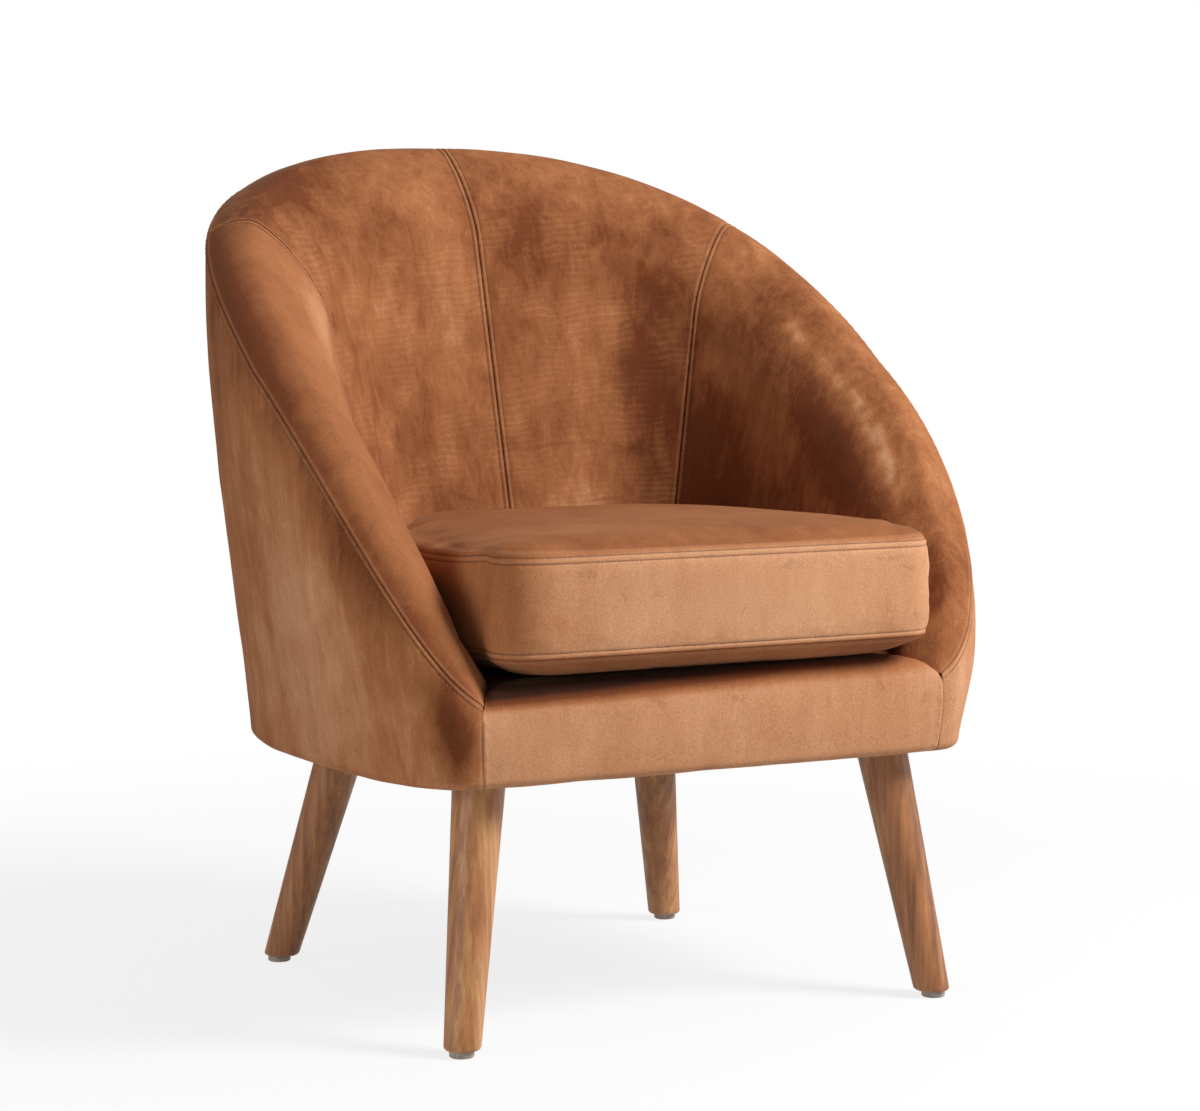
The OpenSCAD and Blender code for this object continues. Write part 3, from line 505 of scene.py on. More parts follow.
@dataclass(frozen=True)
class StainedOak(Finish):
    """Stained oak turned along its grain, under a satin lacquer."""

    turn: Tuple[float, float, float] = (0.0, 0.0, 0.0)

    def shader(self, graph: Graph) -> Wire:
        """Long growth lines in three browns with dark pores."""
        growth = graph.cloud(graph.place((130, 130, 3.4), self.turn), 1.0, 5.0, 0.62, 0.35)
        broad = graph.cloud(graph.place((16, 16, 1.4), self.turn), 1.0, 2.0, 0.5, 0.4)
        pores = graph.cloud(graph.place((760, 760, 24), self.turn), 1.0, 2.0, 0.55)
        figure = growth * 0.62 + broad * 0.38
        base = graph.ramp(figure, [(0.34, paint("#7C4B28")), (0.5, paint("#AB7043")),
                                   (0.66, paint("#CF9A64"))])
        pits = graph.between(pores, 0.60, 0.70)
        base = graph.blend(pits * 0.28, base, paint("#4A2D17"))
        return graph.principled(
            Base_Color=base, Roughness=graph.between(figure, 0.3, 0.7, 0.56, 0.46),
            Normal=graph.bump(1 - pits * 0.7 - growth * 0.3, 0.00025, 0.6),
            Coat_Weight=0.04, Coat_Roughness=0.4)


@dataclass(frozen=True)
class Mottled(Finish):
    """A plain finish in two colours, from one noise that also roughens it."""

    dark: str
    light: str
    scale: float
    detail: float
    harshness: float = 0.5
    bend: float = 0.0
    rough: Tuple[float, float] = (0.7, 0.7)
    relief: float = 0.0002
    strength: float = 0.5

    def shader(self, graph: Graph) -> Wire:
        """The noise as colour and relief."""
        spots = graph.cloud(graph.place(), self.scale, self.detail, self.harshness, self.bend)
        base = graph.ramp(spots, [(0.3, paint(self.dark)), (0.7, paint(self.light))])
        return graph.principled(Base_Color=base, Roughness=graph.between(spots, 0.3, 0.7, *self.rough),
                                Normal=graph.bump(spots, self.relief, self.strength))


@dataclass(frozen=True)
class RawWood(Finish):
    """Unfinished timber or plywood of the inner frame."""

    dark: str
    light: str
    plies: bool = False

    def shader(self, graph: Graph) -> Wire:
        """Straight grain, over the layers of plywood."""
        grain = graph.cloud(graph.place((9, 140, 140)), 1.0, 4.0, 0.6, 0.5)
        base = graph.ramp(grain, [(0.3, paint(self.dark)), (0.7, paint(self.light))])
        if self.plies:
            layers = graph.node("ShaderNodeTexWave", {"bands_direction": "Z"}, {
                "Vector": graph.place(), "Scale": 95.0, "Distortion": 0.6}, "Fac")
            base = graph.blend(graph.between(layers, 0.35, 0.65) * 0.3, base, paint(self.dark))
        return graph.principled(Base_Color=base, Roughness=0.72, Normal=graph.bump(grain, 0.0003, 0.5))


@dataclass(frozen=True)
class CellFoam(Finish):
    """Open-celled seating foam."""

    name: str = "seat_foam"

    def shader(self, graph: Graph) -> Wire:
        """Round cells in pale yellow."""
        cells = graph.node("ShaderNodeTexVoronoi", {"feature": "F1"}, {
            "Vector": graph.place(), "Scale": 520.0}, "Distance")
        tint = graph.cloud(graph.place(), 12.0, 3.0)
        base = graph.ramp(tint, [(0.3, paint("#E3D5A2")), (0.7, paint("#F1E7BF"))])
        return graph.principled(Base_Color=base, Roughness=0.95, Normal=graph.bump(cells, 0.0006, 0.8))


@dataclass(frozen=True)
class Felt(Finish):
    """Matted grey felt and wadding."""

    name: str = "matted_felt"

    def shader(self, graph: Graph) -> Wire:
        """Grey fibres with bluish flecks."""
        fibres = graph.cloud(graph.place(), 260.0, 6.0, 0.75, 2.0)
        flecks = graph.between(graph.cloud(graph.place(), 90.0, 4.0, 0.7, 1.0), 0.6, 0.7)
        base = graph.ramp(fibres, [(0.3, paint("#7F7F7C")), (0.7, paint("#B4B3AE"))])
        base = graph.blend(flecks * 0.5, base, paint("#5A5F6B"))
        return graph.principled(Base_Color=base, Roughness=0.96,
                                Normal=graph.bump(fibres, 0.0008, 0.7))


@dataclass(frozen=True)
class Weave(Finish):
    """A plain weave, from two crossing sets of threads."""

    dark: str
    light: str
    per_metre: float
    rough: float = 0.8
    depth: float = 0.0003

    def shader(self, graph: Graph) -> Wire:
        """Two sets of bands, with a fuzz over them."""
        here = graph.place()
        scale = self.per_metre / WAVES_PER_METRE
        warp, weft = (graph.node("ShaderNodeTexWave", {"bands_direction": way}, {
            "Vector": here, "Scale": scale, "Distortion": 0.4, "Detail Scale": 2.0}, "Fac")
            for way in ("X", "Y"))
        cross = graph.maths("MAXIMUM", warp, weft)
        fuzz = graph.cloud(here, 700.0, 3.0)
        base = graph.ramp(cross * 0.7 + fuzz * 0.3,
                          [(0.25, paint(self.dark)), (0.75, paint(self.light))])
        return graph.principled(Base_Color=base, Roughness=self.rough,
                                Normal=graph.bump(cross, self.depth, 0.7))


@dataclass(frozen=True)
class Metal(Finish):
    """Plated steel with fine rub marks."""

    dark: str = "#8F9297"
    light: str = "#C6C8CB"
    rough: float = 0.34

    def shader(self, graph: Graph) -> Wire:
        """A cloudy plating, rubbed in one direction."""
        marks = graph.cloud(graph.place((60, 900, 900)), 1.0, 3.0, 0.6)
        bloom = graph.cloud(graph.place(), 70.0, 3.0, 0.6, 1.0)
        base = graph.ramp(bloom, [(0.3, paint(self.dark)), (0.7, paint(self.light))])
        return graph.principled(
            Base_Color=base, Metallic=1.0,
            Roughness=graph.between(marks, 0.3, 0.7, self.rough - 0.08, self.rough + 0.1),
            Normal=graph.bump(marks, 0.00005, 0.4))


class Finishes:
    """Every finish of the chair but the legs' oak, each made once."""

    def __init__(self) -> None:
        """Makes the materials."""
        # The velvet copies differ in lean, contrast and lift; the darker lifts of the arms and the
        # inside back are painted shade, partly the pile's lie.
        self.outside = Velvet("velvet_outside", lean=0.1, contrast=0.8).make()
        self.left_arm = Velvet("velvet_left_arm", lean=0.5, contrast=0.5, lift=-0.04).make()
        self.right_arm = Velvet("velvet_right_arm", lean=0.7, contrast=1.1, lift=-0.13).make()
        self.inside_back = Velvet("velvet_inside_back", Lie.RIPPLED, lift=-0.15, creases=(
            Scuff(0.038, 0.503, 0.018, 0.0026, 11), Scuff(0.064, 0.5065, 0.015, 0.0022, 2),
            Scuff(0.100, 0.507, 0.010, 0.0026, -5), Scuff(0.126, 0.503, 0.009, 0.0022, -12),
            Scuff(0.152, 0.498, 0.008, 0.0022, -15), Scuff(0.093, 0.472, 0.009, 0.0022, 80),
            Scuff(0.105, 0.451, 0.016, 0.0022, 3), Scuff(-0.080, 0.492, 0.008, 0.0018, 110),
            Scuff(-0.052, 0.458, 0.024, 0.0026, -20), Scuff(-0.120, 0.520, 0.010, 0.0022, 95))).make()
        self.seat = Velvet("velvet_seat", Lie.SMOOTH, creases=(
            Scuff(-0.112, 0.398, 0.004, 0.005, 20), Scuff(-0.077, 0.399, 0.004, 0.007, 80),
            Scuff(0.166, 0.420, 0.020, 0.0024, 2), Scuff(0.184, 0.411, 0.015, 0.0026, -4),
            Scuff(0.169, 0.304, 0.010, 0.0030, 125), Scuff(-0.068, 0.303, 0.012, 0.0045, 150),
            Scuff(0.014, 0.299, 0.014, 0.0040, 165), Scuff(-0.150, 0.420, 0.012, 0.0050, 170),
            Scuff(0.060, 0.418, 0.018, 0.0050, 5))).make()
        self.thread = Thread().make()
        self.plywood = RawWood("frame_plywood", "#B08A5C", "#D9BC8C", plies=True).make()
        self.block = RawWood("frame_hardwood", "#9A7148", "#C79C6B").make()
        self.hardboard = Mottled("pressed_hardboard", "#4E3826", "#7A5B3F", 420.0, 5.0, 0.7, 1.2,
                                 rough=(0.66, 0.66)).make()
        self.foam = CellFoam().make()
        self.felt = Felt().make()
        self.webbing = Weave("deck_webbing", "#6B5534", "#C4A875", 620.0, depth=0.0005).make()
        self.lining = Weave("dust_cloth", "#0C0C0D", "#232324", 900.0, 0.9, 0.0002).make()
        self.zip_cloth = Weave("zip_tape_cloth", "#3B2013", "#6B3F24", 1400.0, 0.8, 0.0002).make()
        self.zinc = Metal("zinc_plate").make()
        self.nickel = Metal("zip_nickel", "#8B8478", "#BDB6A8", 0.28).make()
        self.nylon = Mottled("moulded_nylon", "#8E8176", "#B0A396", 180.0, 3.0, rough=(0.42, 0.6),
                             relief=0.0001, strength=0.4).make()


# The form of the tub.


def bezier(controls: Sequence, t: Union[float, np.ndarray]) -> np.ndarray:
    """A value of a Bezier curve.

    Args:
        controls: Its control values, numbers or arrays.
        t: Where it is read, from 0 to 1.

    Returns:
        The value at t.
    """
    work = [np.asarray(c, float) for c in controls]
    while len(work) > 1:
        work = [a + (b - a) * t for a, b in zip(work, work[1:])]
    return work[0]


@dataclass(frozen=True)
class TubShape:
    """The tub as upright sections spread along its rim seam.

    In a section u runs inwards from the rim seam and v is the height above the floor. The run goes
    from -1 at the left front corner, over 0 at the middle of the back, to 1 at the right corner.
    """

    front_y: float = -0.2863
    depth: float = 0.594
    rim_x: float = 0.340
    corner_x: float = 0.2385
    corner_run: float = 0.054
    bottom: float = 0.235
    back_height: float = 0.790
    corner_height: float = 0.308
    wall_foot: float = 0.3102
    walls: Tuple[float, ...] = (0.070, 0.078, 0.118, 0.118)
    tip_wall: float = 0.006
    tip_share: float = 0.075
    crest_rise: float = 0.0136
    roll_drops: Tuple[float, ...] = (0.063, 0.063, 0.079, 0.079)
    outside_swell: float = 0.0078
    edge_radius: float = 0.009
    tuck: float = 0.022
    outside_slopes: Tuple[float, ...] = (0.039, 0.214, 0.055, 0.055)
    inside_slopes: Tuple[float, ...] = (0.105, 0.127, 0.255, 0.255)
    rises: Tuple[float, ...] = (0, 0.054, 0.141, 0.416, 0.622, 0.780, 0.906, 1, 1)
    headings: Tuple[float, ...] = (-52, 0, 0, 0, 11.7, 56, 90)
    widest_share: float = 0.43
    side_pull: float = 0.734
    back_pull: float = 0.44
    back_squareness: float = 0.877
    crest_share: float = 0.344
    crest_pulls: Tuple[float, float] = (0.114, 0.191)
    rise_pull: float = 0.61
    fall_pull: float = 0.24
    wall_pull: float = 0.38

    @property
    def back_y(self) -> float:
        """The rim seam's rearmost place."""
        return self.front_y + self.depth

    def rim(self, q: np.ndarray) -> Tuple[np.ndarray, np.ndarray]:
        """The rim seam in plan on the right side.

        Args:
            q: Share of the run, 0 at the front corner and 1 at the middle of the back.

        Returns:
            The x and y places.
        """
        wide_y = self.front_y + self.widest_share * self.depth
        side_x = (self.corner_x, self.corner_x + self.corner_run, self.rim_x, self.rim_x)
        side_y = (self.front_y, self.front_y,
                  wide_y - self.side_pull * (wide_y - self.front_y), wide_y)
        back_x = (self.rim_x, self.rim_x, self.back_squareness * self.rim_x, 0.0)
        back_y = (wide_y, wide_y + self.back_pull * (self.back_y - wide_y), self.back_y, self.back_y)
        front = q < 0.5
        return (np.where(front, bezier(side_x, 2 * q), bezier(back_x, 2 * q - 1)),
                np.where(front, bezier(side_y, 2 * q), bezier(back_y, 2 * q - 1)))

    def rim_height(self, q: np.ndarray) -> np.ndarray:
        """Height of the rim seam."""
        return self.corner_height + (self.back_height - self.corner_height) * bezier(self.rises, q)

    def fullness(self, q: np.ndarray) -> np.ndarray:
        """How far the arm has swollen from its tip, from 0 to 1."""
        return 1 - np.exp(-q / self.tip_share)

    def wall(self, q: np.ndarray) -> np.ndarray:
        """Thickness of the wall below its roll."""
        return self.tip_wall + self.fullness(q) * bezier(self.walls, q)

    def roll_foot(self, q: np.ndarray) -> np.ndarray:
        """Height at which the inside roll ends."""
        top = self.rim_height(q)
        return np.maximum(top - self.fullness(q) * bezier(self.roll_drops, q),
                          np.minimum(self.wall_foot + self.edge_radius, top + 0.0006))

    def inner_u(self, q: np.ndarray, v: np.ndarray) -> np.ndarray:
        """Place of the inside wall's face at a height."""
        return self.wall(q) + bezier(self.inside_slopes, q) * (self.roll_foot(q) - v)

    def outer_u(self, q: np.ndarray, v: np.ndarray) -> np.ndarray:
        """Place of the outside face at a height."""
        top = self.rim_height(q)
        share = (v - self.bottom) / (top - self.bottom)
        fullest_at_two_thirds = 27 / 4 * share * share * (1 - share)
        swell = fullest_at_two_thirds * (0.3 + 0.7 * self.fullness(q))
        return bezier(self.outside_slopes, q) * (top - v) - self.outside_swell * swell

    def placed(self, run: np.ndarray, u: np.ndarray, v: np.ndarray) -> np.ndarray:
        """Puts section points in space.

        Args:
            run: Place along the rim, from -1 to 1.
            u: Distance inwards from the rim seam.
            v: Height.

        Returns:
            The points, with x, y and z last.
        """
        q = 1 - np.abs(run)
        x, y = self.rim(q)
        heading = np.radians(bezier(self.headings, q))
        hand = np.where(run < 0, -1.0, 1.0)
        return np.stack([hand * (x - u * np.cos(heading)), y - u * np.sin(heading),
                         np.broadcast_to(v, np.shape(u))], axis=-1)

    def outside(self, run: np.ndarray, row: np.ndarray) -> np.ndarray:
        """The outside face.

        Args:
            run: Place along the rim.
            row: From -2, the edge of the tuck, over -1 and 0, the bottom bend, to 1, the rim seam.

        Returns:
            The points.
        """
        q = 1 - np.abs(run)
        r = self.edge_radius
        low = self.bottom + r
        u0 = self.outer_u(q, low)
        angle = np.clip(-row, 0, 1) * math.pi / 2
        tucked = np.clip(-1 - row, 0, 1)
        v = low + np.clip(row, 0, 1) * (self.rim_height(q) - low)
        bend_u = u0 + r * (1 - np.cos(angle)) + tucked * (self.tuck - r)
        u = np.where(row > 0, self.outer_u(q, v), bend_u)
        return self.placed(run, u, np.where(row > 0, v, low - r * np.sin(angle)))

    def inside(self, run: np.ndarray, row: np.ndarray) -> np.ndarray:
        """The rolled top and the inside wall.

        Args:
            run: Place along the rim.
            row: From 0, the rim seam, over 1, the crest, and 2, the roll's foot, to 3, where the
                wall ends.

        Returns:
            The points.
        """
        q = 1 - np.abs(run)
        z, t, c = self.rim_height(q), self.wall(q), self.fullness(q) * self.crest_rise
        foot, slope = self.roll_foot(q), bezier(self.inside_slopes, q)
        pull = self.wall_pull * (z + c - foot)
        up = np.clip(row, 0, 1)
        down = np.clip(row - 1, 0, 1)
        drop = np.clip(row - 2, 0, 1)
        crest_u = self.crest_share * t
        first, second = self.crest_pulls
        up_u = bezier((0 * t, first * t, second * t, crest_u), up)
        up_v = bezier((z, z + self.rise_pull * c, z + c, z + c), up)
        down_u = bezier((crest_u, crest_u + self.fall_pull * (t - crest_u), t - slope * pull, t), down)
        down_v = bezier((z + c, z + c, foot + pull, foot), down)
        wall_v = foot + drop * (self.wall_foot - foot)
        u = np.where(row <= 1, up_u, np.where(row <= 2, down_u, self.inner_u(q, wall_v)))
        return self.placed(run, u, np.where(row <= 1, up_v, np.where(row <= 2, down_v, wall_v)))


# Sewn covers.


class Edge(Enum):
    """How one edge of a cover ends."""

    FREE = "free"
    SEWN = "sewn"
    STITCHED = "stitched"


@dataclass(frozen=True)
class PaintedLightPatch:
    """A patch of pile painted lighter as a highlight or darker as shade, partly the pile's own lie,
    placed by its panel's run and row.
    """

    run: float
    run_reach: float
    row: float
    row_reach: float
    amount: float
    broken: bool = False

    def on(self, run: np.ndarray, row: np.ndarray, points: np.ndarray) -> np.ndarray:
        """What it adds to the pile's lie, as painted light where positive and painted shade where
        negative.

        Args:
            run: The run of each point.
            row: The row of each point.
            points: The points.

        Returns:
            The change at each point.
        """
        near = fall(run - self.run, self.run_reach) * fall(row - self.row, self.row_reach)
        if self.broken:
            near = near * np.clip(0.8 + 0.9 * unevenness(points, 0.012, 3.0), 0, 1.2)
        return self.amount * near


# Painted light and shade on the tub's panels, partly the pile's own lie: painted shade along the rim
# seams, on the rolls' outer sides and at the feet of the inside walls beside the cushion, painted
# highlights on the right arm's roll, and lighter and darker patches on the inside back and the
# outside.
PAINTED_LIGHT_PATCHES: Dict[str, Tuple[PaintedLightPatch, ...]] = {
    "inside_arm_left": (
        PaintedLightPatch(-0.6, 2.0, 0.1, 0.6, -0.34), PaintedLightPatch(-0.35, 0.09, 1.85, 0.30, 0.24),
        PaintedLightPatch(-0.45, 0.10, 0.4, 0.7, -0.24), PaintedLightPatch(-0.6, 0.2, 1.2, 0.4, -0.08),
        PaintedLightPatch(-0.75, 0.25, 3.1, 0.5, -0.9)),
    "inside_arm_right": (
        PaintedLightPatch(0.45, 0.5, 2.5, 0.5, -0.24), PaintedLightPatch(0.52, 0.15, 1.80, 0.24, -0.38),
        PaintedLightPatch(0.432, 0.022, 1.48, 0.10, 0.46, True), PaintedLightPatch(0.545, 0.018, 1.37, 0.08, 0.42, True),
        PaintedLightPatch(0.585, 0.024, 1.40, 0.09, 0.44, True), PaintedLightPatch(0.625, 0.024, 1.43, 0.10, 0.38, True),
        PaintedLightPatch(0.660, 0.022, 1.42, 0.10, 0.30, True), PaintedLightPatch(0.50, 0.034, 1.43, 0.07, 0.28, True),
        PaintedLightPatch(0.335, 0.034, 1.45, 0.14, 0.16, True), PaintedLightPatch(0.6, 2.0, 0.7, 0.4, 0.07),
        PaintedLightPatch(0.85, 0.08, 1.3, 0.7, -0.2, True), PaintedLightPatch(0.78, 0.2, 3.1, 0.4, -0.7)),
    "outside_arm_left": (
        PaintedLightPatch(-0.68, 0.10, 0.86, 0.18, -0.24), PaintedLightPatch(-0.93, 0.055, 0.5, 0.5, -0.62),
        PaintedLightPatch(-0.40, 0.08, 0.8, 0.3, -0.10), PaintedLightPatch(-0.60, 0.12, 0.35, 0.45, 0.18),
        PaintedLightPatch(-0.6, 0.4, 1.0, 0.12, -0.24)),
    "outside_arm_right": (PaintedLightPatch(0.9, 0.15, 0.5, 0.6, 0.2), PaintedLightPatch(0.5, 0.1, 0.6, 0.3, -0.12)),
    "outside_back": (PaintedLightPatch(0.05, 0.10, 0.7, 0.25, 0.12), PaintedLightPatch(-0.15, 0.08, 0.4, 0.3, -0.14)),
    "inside_back_left": (
        PaintedLightPatch(-0.19, 0.06, 2.4, 0.5, 0.04), PaintedLightPatch(-0.17, 0.10, 1.0, 0.5, -0.30),
        PaintedLightPatch(-0.10, 0.12, 2.3, 0.5, 0.02),
        PaintedLightPatch(-0.03, 0.03, 2.5, 0.4, 0.06)),
    "inside_back_right": (
        PaintedLightPatch(0.21, 0.06, 2.1, 0.45, -0.26), PaintedLightPatch(0.10, 0.08, 2.6, 0.35, 0.20),
        PaintedLightPatch(0.05, 0.07, 1.9, 0.45, -0.18)),
}


@dataclass(frozen=True)
class SeamForm:
    """How cloth rises and dips beside a seam and its topstitching."""

    proud: float = -0.0002
    sink: float = 0.0012
    sink_reach: float = 0.0007
    ridge: float = 0.00045
    ridge_place: float = 0.0028
    ridge_reach: float = 0.0014
    stitch_place: float = 0.0055
    groove: float = 0.0006
    groove_reach: float = 0.0010
    puff: float = 0.0009
    puff_reach: float = 0.014
    pucker: float = 0.00035
    pucker_length: float = 0.013
    pucker_reach: float = 0.010
    pucker_start: float = 0.002
    flat_reach: float = 0.02

    def height(self, seam: np.ndarray, stitch: np.ndarray) -> np.ndarray:
        """Height of the cloth over its padding.

        Args:
            seam: Distance to the nearest seam.
            stitch: Distance to the nearest topstitched seam.

        Returns:
            The height at each point.
        """
        return (self.proud - self.sink * fall(seam, self.sink_reach)
                + self.ridge * fall(seam - self.ridge_place, self.ridge_reach)
                - self.groove * fall(stitch - self.stitch_place, self.groove_reach)
                + self.puff * (1 - np.exp(-seam / self.puff_reach)))


def seam_steps(length: float, fine: bool = True) -> List[float]:
    """Distances of the rows of points beside a seam.

    Args:
        length: How far the close rows reach.
        fine: Whether the seam is topstitched, which needs more rows.

    Returns:
        The distances from the seam, starting at 0.
    """
    return [s for s in (STITCH_ROWS if fine else SEAM_ROWS) if s < length]


def spread(length: float, step: float, low: Edge, high: Edge) -> np.ndarray:
    """Shares along a length, close together beside its sewn ends.

    Args:
        length: The length.
        step: The wanted spacing away from the seams.
        low: How it ends at 0.
        high: How it ends at 1.

    Returns:
        Rising shares from 0 to 1.
    """
    head = [] if low is Edge.FREE else seam_steps(length / 3, low is Edge.STITCHED)
    tail = [] if high is Edge.FREE else seam_steps(length / 3, high is Edge.STITCHED)
    start = head[-1] if head else 0.0
    end = length - (tail[-1] if tail else 0.0)
    count = max(2, round((end - start) / step))
    middle = np.linspace(start, end, count + 1)
    places = head[:-1] + list(middle) + [length - t for t in reversed(tail[:-1])]
    return np.array(places) / length


def arc_lengths(points: np.ndarray, axis: int = 0) -> np.ndarray:
    """Distance run along a line of points, or along the rows or the columns of a grid of them.

    Args:
        points: The line or the grid, with the coordinates last.
        axis: 0 to run along a line or up the rows, and 1 to run along the columns.

    Returns:
        The distance of each point from the first one.
    """
    steps = np.linalg.norm(np.diff(points, axis=axis), axis=-1)
    start = np.zeros_like(np.take(steps, [0], axis=axis))
    return np.concatenate([start, np.cumsum(steps, axis=axis)], axis=axis)


def along_line(run: np.ndarray, points: np.ndarray, places: Union[float, np.ndarray]) -> np.ndarray:
    """Reads a line between its points.

    Args:
        run: The distance run at each point, or any other rising measure.
        points: The line.
        places: One value of the measure, or many.

    Returns:
        The line's point at each place.
    """
    return np.stack([np.interp(places, run, points[:, k]) for k in range(points.shape[1])], axis=-1)


def even_line(points: np.ndarray, count: int) -> np.ndarray:
    """The same line with evenly spaced points.

    Args:
        points: The line.
        count: Number of points wanted, with both ends.

    Returns:
        The points.
    """
    run = arc_lengths(points)
    return along_line(run, points, np.linspace(0, run[-1], count))


def smooth_line(knots: np.ndarray, count: int) -> np.ndarray:
    """A smooth line through knots, evenly spaced.

    Args:
        knots: The points that it passes.
        count: Number of points wanted.

    Returns:
        The points.
    """
    ends = np.vstack([2 * knots[0] - knots[1], knots, 2 * knots[-1] - knots[-2]])
    fine = []
    for a, b, c, d in zip(ends, ends[1:], ends[2:], ends[3:]):
        for t in np.linspace(0, 1, 24, endpoint=False):
            fine.append(0.5 * (2 * b + (c - a) * t + (2 * a - 5 * b + 4 * c - d) * t * t
                               + (3 * b - 3 * c + d - a) * t ** 3))
    return even_line(np.array(fine + [knots[-1]]), count)


def half_widths(line: np.ndarray, ys: np.ndarray) -> np.ndarray:
    """Half the width inside the tub at some depths.

    Args:
        line: The right half of an outline, from the back to the front corner.
        ys: The depths.

    Returns:
        The x place of the line at each depth.
    """
    order = np.argsort(line[:, 1])
    return np.interp(ys, line[order, 1], line[order, 0])


def fall(distance: np.ndarray, reach: float) -> np.ndarray:
    """A bell of 1 at no distance, which fades over its reach."""
    return np.exp(-(distance / reach) ** 2)


def grid_normals(points: np.ndarray) -> np.ndarray:
    """Unit normals of a grid of points: along the columns crossed with up the rows."""
    along = np.gradient(points, axis=1)
    rise = np.gradient(points, axis=0)
    normal = np.cross(along, rise)
    return normal / np.maximum(np.linalg.norm(normal, axis=-1, keepdims=True), 1e-12)


def unevenness(points: np.ndarray, scale: float, seed: float) -> np.ndarray:
    """Soft noise on a grid of points.

    Args:
        points: The grid.
        scale: Size of one swell in metres.
        seed: Shift that makes one piece differ from the next.

    Returns:
        Values from about -1 to 1.
    """
    flat = points.reshape(-1, 3) / scale + seed
    values = np.fromiter((noise.noise(Vector(p)) for p in flat), float, len(flat))
    return values.reshape(points.shape[:-1])


@dataclass
class Cover:
    """One cut piece of cloth laid on a grid of surface points."""

    name: str
    points: np.ndarray
    nap: np.ndarray
    left: Edge = Edge.FREE
    right: Edge = Edge.FREE
    low: Edge = Edge.FREE
    high: Edge = Edge.FREE
    flip: bool = True
    seed: float = 0.0
    swell: float = 0.0009
    fade: Union[float, np.ndarray] = 1.0
    form: SeamForm = field(default_factory=SeamForm)
    cloth: float = 0.0012
    end_gap: float = 0.007

    def __post_init__(self) -> None:
        """Measures the grid and lifts its points to the cloth's face."""
        self.side = -1.0 if self.flip else 1.0
        self.base_normals = self.side * grid_normals(self.points)
        self.run = arc_lengths(self.points, 1)
        self.rise = arc_lengths(self.points, 0)
        self.gaps = {"left": self.run, "right": self.run[:, -1:] - self.run,
                     "low": self.rise, "high": self.rise[-1:] - self.rise}
        self.seam = self.nearest(Edge.SEWN, Edge.STITCHED)
        self.stitch = self.nearest(Edge.STITCHED)
        height = self.form.height(self.seam, self.stitch)
        form, seam = self.form, self.seam
        wave = (unevenness(self.points, 0.085, self.seed)
                + 0.5 * unevenness(self.points, 0.034, self.seed))
        height = height + self.swell * wave * (1 - np.exp(-seam / form.flat_reach))
        ripple = np.sin((self.run + self.rise) * 2 * math.pi / form.pucker_length
                        + 2.5 * unevenness(self.points, 0.03, self.seed + 5))
        beside = np.exp(-seam / form.pucker_reach) * (1 - fall(seam, form.pucker_start))
        height = height + form.pucker * ripple * beside
        height = form.proud + (height - form.proud) * self.fade
        self.face = self.points + self.base_normals * height[..., None]

    def nearest(self, *kinds: Edge) -> np.ndarray:
        """Distance to the nearest edge of some kinds, or 1 where there is none."""
        gaps = [gap for side, gap in self.gaps.items() if getattr(self, side) in kinds]
        return np.minimum.reduce([np.full(self.run.shape, 1.0)] + gaps)

    def build(self) -> bpy.types.Object:
        """Makes the mesh.

        Returns:
            The new object.
        """
        fields = {"seam_gap": self.seam, "stitch_gap": self.stitch, "nap": self.nap}
        return laid_grid(self.name, self.face, fields, self.flip, self.cloth)

    def stitch_line(self, side: str) -> Tuple[np.ndarray, np.ndarray]:
        """The line of a row of topstitching.

        Args:
            side: The edge that it follows: left, right, low or high.

        Returns:
            Its points and the cloth's normals there.
        """
        gap = self.gaps[side]
        place = self.form.stitch_place
        normals = self.side * grid_normals(self.face)
        upright = side in ("left", "right")
        ends = [self.gaps[end] for end in (("low", "high") if upright else ("left", "right"))]
        points, ups = [], []
        for i in range(gap.shape[0] if upright else gap.shape[1]):
            cut = (i, slice(None)) if upright else (slice(None), i)
            if min(end[cut].max() for end in ends) < self.end_gap or gap[cut].max() < place * 2:
                continue
            order = np.argsort(gap[cut])
            for line, values in ((points, self.face), (ups, normals)):
                line.append(along_line(gap[cut][order], values[cut][order], place))
        return np.array(points), np.array(ups)


def laid_grid(name: str, points: np.ndarray, fields: Dict[str, np.ndarray], flip: bool,
              cloth: float, merge: bool = False) -> bpy.types.Object:
    """Lays a grid of quads on surface points.

    Args:
        name: The object's name.
        points: The points, rows by columns.
        fields: Values at each point, kept by name for the finish.
        flip: Whether the faces are turned over.
        cloth: Thickness that the cloth gets towards its back, or 0 for none.
        merge: Whether points that fall together are joined.

    Returns:
        The new object.
    """
    rows, columns = points.shape[:2]
    bm = bmesh.new()
    bmesh.ops.create_grid(bm, x_segments=columns - 1, y_segments=rows - 1, size=1.0)
    layers = [(bm.verts.layers.float.new(key), values) for key, values in fields.items()]
    for vert in bm.verts:
        i = round((vert.co.x + 1) / 2 * (columns - 1))
        j = round((vert.co.y + 1) / 2 * (rows - 1))
        vert.co = points[j, i]
        for layer, values in layers:
            vert[layer] = values[j, i]
    if flip:
        bmesh.ops.reverse_faces(bm, faces=bm.faces)
    if merge:
        bmesh.ops.remove_doubles(bm, verts=bm.verts, dist=0.00005)
    made = finished(name, bm)
    if cloth:
        wall = made.modifiers.new("cloth", "SOLIDIFY")
        wall.thickness = cloth
        wall.offset = -1.0
    return made


